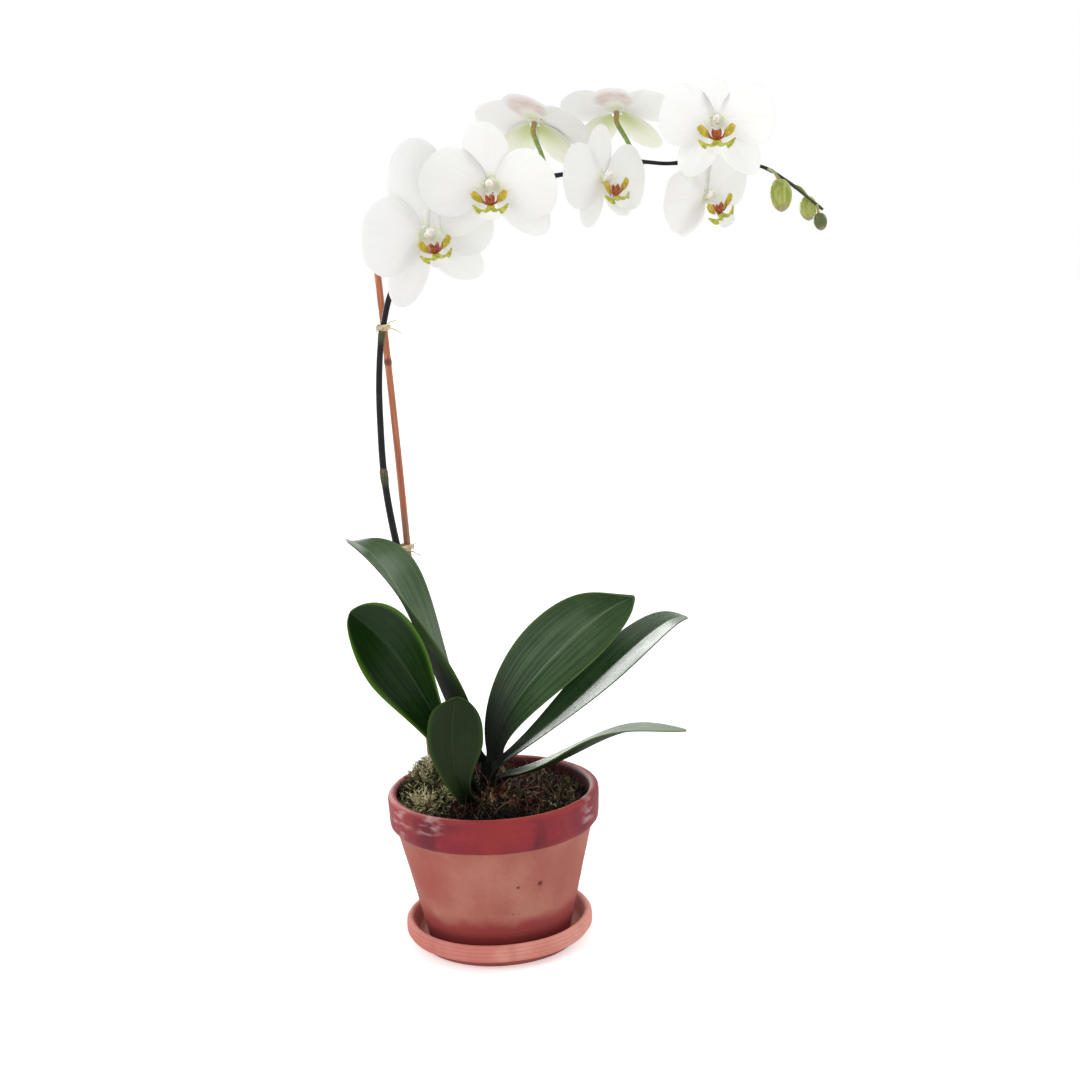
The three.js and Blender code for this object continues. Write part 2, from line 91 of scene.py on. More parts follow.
bpy.ops.object.select_all(action="DESELECT")
bpy.ops.object.camera_add(location=CAMERA_PLACE, rotation=[math.radians(turn) for turn in CAMERA_TURN])
scene.camera = bpy.context.object
scene.camera.data.lens = LENS
scene.camera.data.clip_end = FAR
scene.view_settings.view_transform = "Standard"

for place, watts, side, gloss_only in SOFT_BOXES:
    towards = (AIM - Vector(place)).to_track_quat("-Z", "Y")
    bpy.ops.object.light_add(type="AREA", location=place, rotation=towards.to_euler())
    box = bpy.context.object
    box.data.energy = watts
    box.data.size = side
    box.visible_camera = False
    box.visible_diffuse = not gloss_only

world = bpy.data.worlds.new("sweep")
scene.world = world
world.use_nodes = True
sky = world.node_tree
aim = node(sky, "ShaderNodeTexCoord").outputs["Generated"]
way = axes(sky, aim)
sweep = band(sky, way["Z"], 0.0, 0.18, 0, band(sky, way["Z"], 0.50, 0.80, BACK_GLOW, TOP_GLOW))
glow = band(sky, way["Y"], 0.15, 0.80, FRONT_GLOW, sweep)
seen = node(sky, "ShaderNodeLightPath").outputs["Is Camera Ray"]
strength = node(sky, "ShaderNodeMix", {0: seen, 2: glow, 3: 1.0}).outputs[0]
backdrop = sky.nodes["Background"]
backdrop.inputs["Color"].default_value = (1, 1, 1, 1)
sky.links.new(strength, backdrop.inputs["Strength"])

bpy.ops.mesh.primitive_circle_add(vertices=96, radius=TABLE_REACH, fill_type="NGON")
floor = bpy.context.object
floor.name = "table_top"
tabletop = bpy.data.materials.new("white_table")
tabletop.use_nodes = True
sockets = tabletop.node_tree.nodes["Principled BSDF"].inputs
sockets["Base Color"].default_value = paint(0xF4F3F3)
sockets["Roughness"].default_value = 0.9
sockets["Specular IOR Level"].default_value = 0.1
sockets["Emission Color"].default_value = (1, 1, 1, 1)
direct = node(tabletop.node_tree, "ShaderNodeLightPath").outputs["Is Camera Ray"]
lift = node(tabletop.node_tree, "ShaderNodeMix", {0: direct, 2: 0.1, 3: 0.45}).outputs[0]
tabletop.node_tree.links.new(lift, sockets["Emission Strength"])
floor.data.materials.append(tabletop)

# ---------------------------------------------------------------- saucer
# A shallow dish of pink fired clay, thrown on a wheel: a narrow foot, a flared wall and a thick round lip.
# Fine turning lines run round it and it is dry and unglazed.

SAUCER = (  # radius and height, from the foot up over the lip and down to the floor inside
    (0.0560, 0.0000), (0.0572, 0.0006), (0.0590, 0.0045), (0.0655, 0.0070), (0.0674, 0.0098),
    (0.0676, 0.0135), (0.0672, 0.0166), (0.0658, 0.0186), (0.0640, 0.0190), (0.0622, 0.0180),
    (0.0606, 0.0140), (0.0585, 0.0080), (0.0560, 0.0060), (0.0400, 0.0060),
)
TURNING_RINGS = (0.0118, 0.0146, 0.0172)  # heights of the faint lines round the outside


def alone(piece):
    """Selects one piece and nothing else."""
    bpy.ops.object.select_all(action="DESELECT")
    piece.select_set(True)
    bpy.context.view_layer.objects.active = piece


def apply(piece, kind, **settings):
    """Gives a piece a modifier and applies it."""
    modifier = piece.modifiers.new(kind.lower(), kind)
    for key, value in settings.items():
        setattr(modifier, key, value)
    alone(piece)
    bpy.ops.object.modifier_apply(modifier=modifier.name)


def close_up(piece):
    """Merges doubled points, fills open ends and turns all faces outwards."""
    alone(piece)
    bpy.ops.object.mode_set(mode="EDIT")
    bpy.ops.mesh.select_all(action="SELECT")
    bpy.ops.mesh.remove_doubles(threshold=1e-6)
    bpy.ops.mesh.fill_holes(sides=0)
    bpy.ops.mesh.normals_make_consistent(inside=False)
    bpy.ops.object.mode_set(mode="OBJECT")


def thrown(name, profile, step, sides=144):
    """A wheel-thrown piece: a ring of clay drawn through the radii and heights of its profile."""
    bpy.ops.object.select_all(action="DESELECT")
    bpy.ops.mesh.primitive_circle_add(vertices=sides, radius=profile[0][0])
    piece = bpy.context.object
    piece.name = name
    bpy.ops.object.mode_set(mode="EDIT")
    bpy.ops.transform.translate(value=(0, 0, profile[0][1]))
    for (radius, height), (next_radius, next_height) in zip(profile, profile[1:]):
        count = max(1, round(math.hypot(next_radius - radius, next_height - height) / step))
        rise = (0, 0, (next_height - height) / count)
        for i in range(count):
            old = radius + (next_radius - radius) * i / count
            new = radius + (next_radius - radius) * (i + 1) / count
            bpy.ops.mesh.extrude_edges_move(TRANSFORM_OT_translate={"value": rise})
            bpy.ops.transform.resize(value=(new / old, new / old, 1), center_override=(0, 0, 0))
    bpy.ops.object.mode_set(mode="OBJECT")
    close_up(piece)
    return piece


def unsettle(piece, sway, ridge, pitch):
    """Takes a thrown piece slightly out of round and leaves the ridges of the fingers on it."""
    for vertex in piece.data.vertices:
        place = vertex.co.copy()
        reach = math.hypot(place.x, place.y)
        if reach < 0.02:  # the middle of the floor stays as it is
            continue
        outward = Vector((place.x, place.y, 0)) / reach
        lump = noise.noise(place * 28) * sway
        line = noise.noise(Vector((outward.x * 0.7, outward.y * 0.7, place.z / pitch))) * ridge
        vertex.co = place + outward * (lump + line)


def effect(name, inputs, outputs):
    """A node group with named sockets: its tree, what comes in and what goes out."""
    tree = bpy.data.node_groups.new(name, "ShaderNodeTree")
    for label, value in inputs.items():
        kind = "NodeSocketColor" if isinstance(value, tuple) else "NodeSocketFloat"
        tree.interface.new_socket(label, in_out="INPUT", socket_type=kind).default_value = value
    for label, kind in outputs.items():
        tree.interface.new_socket(label, in_out="OUTPUT", socket_type=kind)
    return tree, node(tree, "NodeGroupInput").outputs, node(tree, "NodeGroupOutput").inputs


def place_of(tree, scale=(1, 1, 1), source="Object"):
    """Where a point is on its piece, stretched by the scale."""
    place = node(tree, "ShaderNodeTexCoord").outputs[source]
    return node(tree, "ShaderNodeMapping", {"Vector": place, "Scale": scale}).outputs[0]


def sheet_of(tree):
    """How far a point is along a blade or a stem, as X, and across it, as Y, from 0 to 1."""
    return axes(tree, place_of(tree, source="UV"))


def cloud(tree, place, scale, detail=3.0):
    """A soft random pattern from 0 to 1."""
    inputs = {"Vector": place, "Scale": scale, "Detail": detail}
    return node(tree, "ShaderNodeTexNoise", inputs).outputs["Fac"]


def blend(tree, share, first, second):
    """Two colours mixed by a share."""
    return node(tree, "ShaderNodeMix", {0: share, 6: first, 7: second}, data_type="RGBA").outputs[2]


def sums(tree, how, *values):
    """One arithmetic step."""
    return node(tree, "ShaderNodeMath", dict(enumerate(values)), operation=how).outputs[0]


def finish(name, colour, roughness, height=None, relief=0.0, **sockets):
    """A material: a colour and a roughness, plain or from a pattern, and the relief that a height gives."""
    material = bpy.data.materials.new(name)
    material.use_nodes = True
    tree = material.node_tree
    shader = tree.nodes["Principled BSDF"]
    for label, value in sockets.items():
        shader.inputs[label.replace("_", " ")].default_value = value
    inputs = {"Base Color": colour(tree), "Roughness": roughness(tree) if callable(roughness) else roughness}
    if height:
        bump = {"Height": height(tree), "Distance": relief, "Strength": 1.0}
        inputs["Normal"] = node(tree, "ShaderNodeBump", bump).outputs[0]
    for label, value in inputs.items():
        if isinstance(value, bpy.types.NodeSocket):
            tree.links.new(value, shader.inputs[label])
        else:
            shader.inputs[label].default_value = value
    return material


fired_clay, given, out = effect(
    "fired_clay",
    {"Tone": paint(0xC87A6C), "Pale": paint(0xD8998A), "Dark": paint(0x9A4A44), "Streaks": 0.5},
    {"Color": "NodeSocketColor", "Height": "NodeSocketFloat"},
)
place = place_of(fired_clay)
clouds = band(fired_clay, cloud(fired_clay, place, 24, 5), 0.36, 0.68)
colour = blend(fired_clay, clouds, given["Tone"], given["Pale"])
streaks = band(fired_clay, cloud(fired_clay, place_of(fired_clay, (55, 55, 11)), 1.0, 4), 0.5, 0.74)
colour = blend(fired_clay, sums(fired_clay, "MULTIPLY", streaks, given["Streaks"]), colour, given["Dark"])
specks = band(fired_clay, cloud(fired_clay, place, 560, 2), 0.62, 0.74, 0, 0.45)
colour = blend(fired_clay, specks, colour, given["Dark"])
turning = cloud(fired_clay, place_of(fired_clay, (5, 5, 520)), 1.0, 2)
colour = blend(fired_clay, band(fired_clay, turning, 0.5, 0.8, 0, 0.12), colour, given["Pale"])
fired_clay.links.new(colour, out["Color"])
grit = sums(fired_clay, "MULTIPLY", cloud(fired_clay, place, 1400, 2), 0.45)
fired_clay.links.new(sums(fired_clay, "ADD", turning, grit), out["Height"])


def clay_colour(tree, tone, pale, dark, streaks):
    values = {"Tone": paint(tone), "Pale": paint(pale), "Dark": paint(dark), "Streaks": streaks}
    return node(tree, "ShaderNodeGroup", values, node_tree=fired_clay).outputs["Color"]


def clay_height(tree):
    return node(tree, "ShaderNodeGroup", node_tree=fired_clay).outputs["Height"]


def saucer_colour(tree):
    clay = clay_colour(tree, 0xCE7C70, 0xDF9A8B, 0xA8554C, 0.3)
    height = axes(tree, place_of(tree))["Z"]
    # painted shade: the foot is darkened under the flare of the wall, and the faint turning lines are darker
    # too
    foot = band(tree, height, 0.0035, 0.0062, 0.75, 0)
    for ring in TURNING_RINGS:
        away = sums(tree, "ABSOLUTE", sums(tree, "SUBTRACT", height, ring))
        foot = sums(tree, "MAXIMUM", foot, band(tree, away, 0.0001, 0.0006, 0.25, 0))
    return blend(tree, foot, clay, paint(0x9C4C49))


saucer = thrown("saucer_dish", SAUCER, 0.0012)
unsettle(saucer, 0.0003, 0.00025, 0.0021)
alone(saucer)
bpy.ops.object.shade_smooth_by_angle(angle=math.radians(50))
saucer.data.materials.append(finish("saucer_clay", saucer_colour, 0.82, clay_height, 0.0003))
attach(saucer, "root")
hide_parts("saucer")

# ---------------------------------------------------------------- pot
# A six-inch pot of the same clay, thrown with a deep collar. The body is dry and dusty pink, the collar is
# stained dark red by damp with chalky salts on it, partly a painted sheen, and painted brighter red at its
# front and along the top of the lip as a painted highlight. The lower body is dark where water has risen from
# the dish, with painted shade at the very foot, and the inside wall above the mix carries painted shade.

POT = (  # radius and height: up the outside, over the collar, down the inside and back round the drain hole
    (0.0110, 0.0063), (0.0508, 0.0063), (0.0520, 0.0075), (0.0693, 0.0822), (0.0699, 0.0838),
    (0.0730, 0.0884), (0.0747, 0.0905), (0.0751, 0.0930), (0.0759, 0.1090), (0.0757, 0.1112),
    (0.0745, 0.1126), (0.0727, 0.1130), (0.0706, 0.1124), (0.0693, 0.1106), (0.0682, 0.0910),
    (0.0635, 0.0830), (0.0462, 0.0150), (0.0450, 0.0143), (0.0110, 0.0143), (0.0110, 0.0063),
)
COLLAR_FOOT = 0.0884  # height
SALTS_AND_SHEEN = (  # middle and reach of each chalky patch on the collar, partly a painted sheen
    ((-0.068, -0.034, 0.1055), 0.028),
    ((-0.047, -0.060, 0.1070), 0.019),
    ((0.066, -0.036, 0.104), 0.015),
    ((0.020, 0.074, 0.102), 0.028),
)
STAINS = (  # middle and reach of each dark spot on the body
    ((0.0135, -0.0620, 0.0600), 0.0022),
    ((0.0290, -0.0570, 0.0600), 0.0030),
    ((0.0070, -0.0580, 0.0440), 0.0018),
    ((0.0090, -0.0570, 0.0390), 0.0022),
    ((-0.0300, 0.0560, 0.0560), 0.0026),
)


def near(tree, place, middle, reach):
    """1 at the middle, fading to 0 at the reach."""
    away = node(tree, "ShaderNodeVectorMath", {0: place, 1: middle}, operation="DISTANCE")
    return band(tree, away.outputs["Value"], reach * 0.25, reach, 1, 0)


def collar_mask(tree, height):
    ragged = sums(tree, "MULTIPLY_ADD", cloud(tree, place_of(tree), 60), 0.0016, height)
    return band(tree, ragged, COLLAR_FOOT + 0.0002, COLLAR_FOOT + 0.0012)


def salts_and_sheen_mask(tree):
    place = place_of(tree)
    wisps = band(tree, cloud(tree, place_of(tree, (60, 60, 190)), 1.0, 6), 0.48, 0.72)
    patches = 0.0
    for middle, reach in SALTS_AND_SHEEN:
        patches = sums(tree, "MAXIMUM", patches, near(tree, place, middle, reach))
    return sums(tree, "MULTIPLY", wisps, patches)


def pot_colour(tree):
    place = place_of(tree)
    height = axes(tree, place)["Z"]
    colour = clay_colour(tree, 0xAA6458, 0xB67A6A, 0x984844, 0.25)
    for middle, reach in STAINS:
        colour = blend(tree, near(tree, place, middle, reach), colour, paint(0x6E2F2C))
    tide = sums(tree, "MULTIPLY_ADD", cloud(tree, place, 45, 4), 0.016, height)
    colour = blend(tree, band(tree, tide, 0.035, 0.047, 0.85, 0), colour, paint(0x953638))
    # painted shade: the very foot is darkened just above the dish
    colour = blend(tree, band(tree, height, 0.012, 0.026, 0.6, 0), colour, paint(0x6C2228))
    blush = near(tree, place, (-0.052, -0.040, 0.066), 0.034)
    colour = blend(tree, sums(tree, "MULTIPLY", blush, 0.36), colour, paint(0xA03C38))
    collar = clay_colour(tree, 0x822430, 0x9C3436, 0x4C1A24, 0.9)
    mottle = band(tree, cloud(tree, place, 34, 5), 0.45, 0.68, 0, 0.5)
    red = blend(tree, mottle, collar, paint(0x5E1C2A))
    # painted highlight: brighter red at the front of the collar and along the top of the lip
    collar_highlight = sums(tree, "MULTIPLY", near(tree, place, (0.002, -0.074, 0.109), 0.036), 0.4)
    collar_highlight = sums(tree, "MAXIMUM", collar_highlight, band(tree, height, 0.1085, 0.1128, 0, 0.5))
    red = blend(tree, collar_highlight, red, paint(0xAC3A30))
    # chalky salts on the collar, partly a painted sheen
    red = blend(tree, sums(tree, "MULTIPLY", salts_and_sheen_mask(tree), 0.5), red, paint(0xDCC6C6))
    colour = blend(tree, collar_mask(tree, height), colour, red)
    # painted shade on the inside wall above the mix, under the lip
    away = node(tree, "ShaderNodeVectorMath", {0: place_of(tree, (1, 1, 0))}, operation="LENGTH")
    inner = band(tree, away.outputs["Value"], 0.0700, 0.0712, 1, 0)
    wall_shade = sums(tree, "MULTIPLY", inner, band(tree, height, 0.088, 0.094))
    return blend(tree, sums(tree, "MULTIPLY", wall_shade, 0.8), colour, paint(0x45181C))


def pot_roughness(tree):
    height = axes(tree, place_of(tree))["Z"]
    return sums(tree, "MULTIPLY_ADD", collar_mask(tree, height), -0.26, 0.82)


pot = thrown("pot_shell", POT, 0.002)
unsettle(pot, 0.0004, 0.00018, 0.0035)
alone(pot)
bpy.ops.object.shade_smooth_by_angle(angle=math.radians(50))
pot.data.materials.append(
    finish("pot_clay", pot_colour, pot_roughness, clay_height, 0.0003, Specular_IOR_Level=0.25)
)
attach(pot, "root")
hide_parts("pot")

# ---------------------------------------------------------------- stake
# A split bamboo cane pushed into the mix behind the crown, planed round, with two nodes and a dull lower end.
# Its top is cut off square behind the lowest flower.

STAKE_FOOT = Vector((-0.043, 0.036, 0.070))
STAKE_TOP = Vector((-0.0625, 0.020, 0.490))
STAKE_RADIUS = 0.0026
CANE_NODES = (0.47, 0.83)  # shares of the cane's length
CANE_STEPS = 260


def tube(name, strands, sides):
    """Round stems in one piece: each strand is a list of places, each with its radius."""
    curve = bpy.data.curves.new(name, "CURVE")
    curve.dimensions = "3D"
    curve.bevel_depth = 1.0
    curve.bevel_resolution = (sides - 4) // 2
    curve.use_fill_caps = True
    for strand in strands:
        spline = curve.splines.new("POLY")
        spline.points.add(len(strand) - 1)
        for point, (spot, radius) in zip(spline.points, strand):
            point.co = (*spot, 1)
            point.radius = radius
    piece = bpy.data.objects.new(name, curve)
    scene.collection.objects.link(piece)
    alone(piece)
    bpy.ops.object.convert(target="MESH")
    close_up(piece)
    bpy.ops.object.shade_smooth_by_angle(angle=math.radians(55))
    return piece


def on_stake(share):
    """A place on the cane's axis, which bends a little at its nodes."""
    bend = 0.0011 * math.sin(math.pi * share / CANE_NODES[0]) * (1 if share < CANE_NODES[0] else -0.5)
    return STAKE_FOOT.lerp(STAKE_TOP, share) + Vector((bend, 0, 0))


def cane_radius(share):
    swell = sum(math.exp(-(((share - spot) / 0.005) ** 2)) for spot in CANE_NODES)
    return STAKE_RADIUS * (0.97 - 0.06 * share + 0.16 * swell)


def cane_colour(tree):
    place = place_of(tree)
    height = axes(tree, place)["Z"]
    fibres = cloud(tree, place_of(tree, (900, 900, 14)), 1.0, 4)
    colour = blend(tree, band(tree, fibres, 0.35, 0.7), paint(0xA85A3E), paint(0xC98058))
    dull = band(tree, sums(tree, "MULTIPLY_ADD", cloud(tree, place, 40), 0.02, height), 0.312, 0.330, 1, 0)
    colour = blend(tree, sums(tree, "MULTIPLY", dull, 0.7), colour, paint(0x8A6A58))
    for share in CANE_NODES:
        away = sums(tree, "ABSOLUTE", sums(tree, "SUBTRACT", height, on_stake(share).z))
        colour = blend(tree, band(tree, away, 0.0012, 0.0035, 0.8, 0), colour, paint(0x5B3527))
    return colour


def cane_height(tree):
    return cloud(tree, place_of(tree, (1300, 1300, 20)), 1.0, 3)


shares = [i / CANE_STEPS for i in range(CANE_STEPS + 1)]
stake = tube("bamboo_cane", [[(on_stake(share), cane_radius(share)) for share in shares]], 16)
stake.data.materials.append(finish("bamboo", cane_colour, 0.5, cane_height, 0.0002))
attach(stake, "root")
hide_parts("stake")

# ---------------------------------------------------------------- potting mix
# Coarse orchid mix up to a finger below the brim: dark composted bark, chips, red-brown root fibres and
# straw-coloured shreds of moss, heaped a little round the crown.

MIX_BODY = ((0.0440, 0.0150), (0.0628, 0.0830), (0.0670, 0.0910), (0.0672, 0.1020), (0.0030, 0.1020))
MIX_TOP = 0.103
CHIPS = 420
FIBRES = 1500
SEED = 7


def mix_height(x, y):
    """The lumpy top of the mix, higher round the crown."""
    mound = 0.009 * math.exp(-(x * x + y * y) / 0.034**2)
    lumps = 0.0009 * math.sin(x / 0.0061 + 1) * math.cos(y / 0.0053) + 0.0007 * math.sin((x + y) / 0.0097)
    return MIX_TOP + mound + lumps


def strewn(name, models, places):
    """One mesh of many turned copies of a few models; each place is a model, a matrix and a tone."""
    points, faces, tones, count = [], [], [], 0
    shapes = []
    for model in models:
        grid = np.empty(len(model.data.vertices) * 3)
        model.data.vertices.foreach_get("co", grid)
        shapes.append((grid.reshape(-1, 3), [tuple(face.vertices) for face in model.data.polygons]))
    for which, matrix, tone in places:
        grid, corners = shapes[which]
        turn = np.array(matrix)
        points.append(grid @ turn[:3, :3].T + turn[:3, 3])
        faces.extend(tuple(corner + count for corner in face) for face in corners)
        tones.extend([tone] * len(grid))
        count += len(grid)
    mesh = bpy.data.meshes.new(name)
    mesh.from_pydata(np.concatenate(points).tolist(), [], faces)
    mesh.attributes.new("tone", "FLOAT", "POINT").data.foreach_set("value", tones)
    mesh.update()
    mesh.shade_smooth()
    piece = bpy.data.objects.new(name, mesh)
    scene.collection.objects.link(piece)
    return piece


def discard(models):
    """Takes the models away once their copies are placed."""
    for model in models:
        bpy.data.objects.remove(model)


def rim_shade(tree):
    """0 at the open middle of the mix, rising to painted shade at the edge under the rim, most at the front.
    """
    airy = near(tree, place_of(tree, (1, 1, 0)), (0, 0.016, 0), 0.082)
    return sums(tree, "MULTIPLY_ADD", airy, -0.85, 0.85)


def toned(dark, middle, light, wall_shade=True):
    """A colour function: each strewn bit has its own tone, a little uneven along it, and, unless turned off,
    painted shade towards the pot wall.
    """

    def colour(tree):
        tone = node(tree, "ShaderNodeAttribute", attribute_name="tone").outputs["Fac"]
        uneven = sums(tree, "MULTIPLY_ADD", cloud(tree, place_of(tree), 420), 0.5, -0.25)
        tone = sums(tree, "ADD", tone, uneven)
        low = blend(tree, band(tree, tone, 0.0, 0.5), paint(dark), paint(middle))
        high = blend(tree, band(tree, tone, 0.5, 1.0), low, paint(light))
        return blend(tree, rim_shade(tree), high, paint(0x050304)) if wall_shade else high

    return colour


def wisp(name, radius, curl, twigs, rng):
    """A curved shred with side twigs, standing a unit tall along Z from the origin."""
    bow = [Vector((curl * t * t, 0.25 * curl * math.sin(4 * t), t)) for t in (0, 0.25, 0.5, 0.75, 1)]
    strands = [[(spot, radius * (1.1 - 0.9 * i / 4)) for i, spot in enumerate(bow)]]
    for i in range(twigs):
        root = bow[1 + i % 3]
        side = Vector((rng.uniform(-1, 1), rng.uniform(-1, 1), 0.8)) * 0.28
        strands.append([(root, radius * 0.7), (root + side, radius * 0.25)])
    return tube(name, strands, 4)


def chip(name, rng):
    """A splinter of bark: a block, cut once each way and broken unevenly."""
    bpy.ops.object.select_all(action="DESELECT")
    bpy.ops.mesh.primitive_cube_add(size=1)
    piece = bpy.context.object
    piece.name = name
    bpy.ops.object.mode_set(mode="EDIT")
    bpy.ops.mesh.select_all(action="SELECT")
    bpy.ops.mesh.subdivide(number_cuts=1)
    bpy.ops.object.mode_set(mode="OBJECT")
    for vertex in piece.data.vertices:
        vertex.co = Vector(
            (
                vertex.co.x * rng.uniform(0.75, 1.1),
                vertex.co.y * rng.uniform(0.6, 1.1) * 0.6,
                vertex.co.z * rng.uniform(0.6, 1.1) * 0.35,
            )
        )
    return piece


def mix_colour(tree):
    grains = band(tree, cloud(tree, place_of(tree), 260, 5), 0.35, 0.7)
    # painted shade: the bed darkens towards the pot wall, under the rim
    return blend(tree, rim_shade(tree), blend(tree, grains, paint(0x0A0607), paint(0x251614)), paint(0x050304))


def grain_height(tree):
    return cloud(tree, place_of(tree), 700, 4)


mix = thrown("mix_bed", MIX_BODY, 0.0022, 120)
for vertex in mix.data.vertices:
    if vertex.co.z > 0.1015:
        crumbs = noise.noise(vertex.co * 190) * 0.0016 + noise.noise(vertex.co * 420) * 0.0008
        vertex.co.z = mix_height(vertex.co.x, vertex.co.y) - 0.001 + crumbs
alone(mix)
bpy.ops.object.shade_smooth_by_angle(angle=math.radians(60))
mix.data.materials.append(
    finish("composted_bark", mix_colour, 0.95, grain_height, 0.0008, Specular_IOR_Level=0.1)
)
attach(mix, "root")
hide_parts("potting_mix")

rng = random.Random(SEED)


def on_mix(rng, reach, sink):
    """A random place on top of the mix, sunk into it a little."""
    turn, out_by = rng.uniform(0, 2 * math.pi), reach * math.sqrt(rng.random())
    x, y = out_by * math.cos(turn), out_by * math.sin(turn)
    return Vector((x, y, mix_height(x, y) - sink))


def tumbled(rng, tilt):
    """A random turn that leans from upright by an angle within the tilt."""
    spin = Matrix.Rotation(rng.uniform(0, 2 * math.pi), 4, "Z")
    lean = Matrix.Rotation(rng.uniform(*tilt), 4, "Y")
    return spin @ lean @ Matrix.Rotation(rng.uniform(0, 6), 4, "Z")


models = [chip(f"chip_{i}", rng) for i in range(4)]
places = []
for i in range(CHIPS):
    size = rng.uniform(0.003, 0.0085) * (1.25 if rng.random() < 0.08 else 1)
    matrix = Matrix.Translation(on_mix(rng, 0.0635, 0.0004)) @ tumbled(rng, (0, 0.7)) @ Matrix.Scale(size, 4)
    places.append((i % 4, matrix, rng.random() ** 1.7))
chips = strewn("bark_chips", models, places)
chips.data.shade_flat()
discard(models)
bark = toned(0x080405, 0x1C0F0E, 0x7A3A28)
chips.data.materials.append(finish("bark_chip", bark, 0.85, grain_height, 0.0006, Specular_IOR_Level=0.15))
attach(chips, "root")

models = [wisp(f"fibre_{i}", 0.020, curl, 1, rng) for i, curl in enumerate((0.25, 0.7, -0.5, 1.1))]
places = []
for i in range(FIBRES):
    spot = on_mix(rng, 0.061, 0.001)
    matrix = Matrix.Translation(spot) @ tumbled(rng, (0.75, 1.5)) @ Matrix.Scale(rng.uniform(0.006, 0.019), 4)
    places.append((i % 4, matrix, rng.random() ** 1.9))
fibres = strewn("root_fibres", models, places)
discard(models)
russet = toned(0x0A0505, 0x54201A, 0xD0B088)
fibres.data.materials.append(finish("root_fibre", russet, 0.8, Specular_IOR_Level=0.2))
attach(fibres, "root")

# ---------------------------------------------------------------- moss
# Cushion moss heaped at the left and behind the stake, half dry: olive below and straw at its tips, with
# loose tufts of it strewn over the mix towards the right. The cushion under the sprigs is painted near-black
# as the shade inside the heap.

MOSS_CENTRE = Vector((-0.045, 0.006, 0))
MOSS_REACH = Vector((0.019, 0.036, 0))
MOSS_HEIGHT = 0.019
SPRIGS = 2100
SHREDS = 1500


def moss_rise(turn, share):
    """How high the heap stands above the mix at a turn and a share of its reach."""
    return 0.0008 + MOSS_HEIGHT * (1 - share**2.2) * (1 + 0.16 * math.sin(3 * turn + 4 * share))


def moss_spot(turn, share):
    x = MOSS_CENTRE.x + MOSS_REACH.x * share * math.cos(turn)
    y = MOSS_CENTRE.y + MOSS_REACH.y * share * math.sin(turn)
    return Vector((x, y, mix_height(x, y) + moss_rise(turn, share)))


def ball(segments, rings):
    """A ball of unit radius, to be shaped."""
    bpy.ops.object.select_all(action="DESELECT")
    bpy.ops.mesh.primitive_uv_sphere_add(segments=segments, ring_count=rings, radius=1)
    return bpy.context.object


def moss_colour(tree):
    # painted shade: the cushion is near-black, the shade inside the heap under the sprigs
    tufts = band(tree, cloud(tree, place_of(tree), 300, 4), 0.35, 0.7)
    return blend(tree, tufts, paint(0x0B0906), paint(0x221E12))


moss = ball(64, 40)
moss.name = "moss_cushion"
for vertex in moss.data.vertices:
    turn, share = math.atan2(vertex.co.y, vertex.co.x), min(1, math.hypot(vertex.co.x, vertex.co.y))
    spot = moss_spot(turn, share)
    if vertex.co.z < 0:
        spot.z = mix_height(spot.x, spot.y) - 0.001
    vertex.co = spot + Vector((0, 0, noise.noise(spot * 160) * 0.002 - 0.001))
close_up(moss)
moss.data.shade_smooth()
moss.data.materials.append(
    finish("moss_bed", moss_colour, 0.95, grain_height, 0.0012, Specular_IOR_Level=0.1)
)
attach(moss, "root")
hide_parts("moss_heap")

models = [wisp(f"sprig_{i}", 0.050, curl, 4, rng) for i, curl in enumerate((0.3, 0.8, -0.6, 0.1))]
places = []
for i in range(SPRIGS):
    turn, share = rng.uniform(0, 2 * math.pi), math.sqrt(rng.random()) * 1.05
    spot = moss_spot(turn, min(share, 1))
    lean = Matrix.Rotation(share * 1.1, 4, Vector((-math.sin(turn), math.cos(turn), 0)))
    clump = noise.noise(spot * 130)
    size = rng.uniform(0.0042, 0.0090) * (1 + 0.6 * clump)
    spot -= Vector((0, 0, 0.0014))
    matrix = Matrix.Translation(spot) @ lean @ tumbled(rng, (0, 0.9)) @ Matrix.Scale(size, 4)
    places.append((i % 4, matrix, 0.02 + 0.9 * clump + 1.05 * rng.random() ** 1.3))
for i in range(SHREDS):
    spot = on_mix(rng, 0.0635, 0.0008)
    edge = spot.x < -0.028 and spot.y < 0.0
    thick = noise.noise(spot * 55) + 0.2 * (spot.x > 0.005) + 0.7 * edge
    if thick < 0.0:
        continue
    matrix = Matrix.Translation(spot) @ tumbled(rng, (0.5, 1.45)) @ Matrix.Scale(rng.uniform(0.004, 0.009), 4)
    shaded = spot.y < -0.034 and not edge
    places.append((i % 4, matrix, rng.random() ** 1.4 * (1.0 if edge else 0.3 if shaded else 0.85)))
sprigs = strewn("moss_sprigs", models, places)
discard(models)
straw = toned(0x0B0A06, 0x5C562C, 0xEEE6B8, wall_shade=False)
sprigs.data.materials.append(finish("moss_sprig", straw, 0.85, Specular_IOR_Level=0.2))
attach(sprigs, "root")

# ---------------------------------------------------------------- leaves
# Six thick strap leaves in two ranks, each clasping the short crown with its folded base. They are waxy deep
# green above, paler and matt below, with a sunk midrib, a keel under it and a thin light margin.

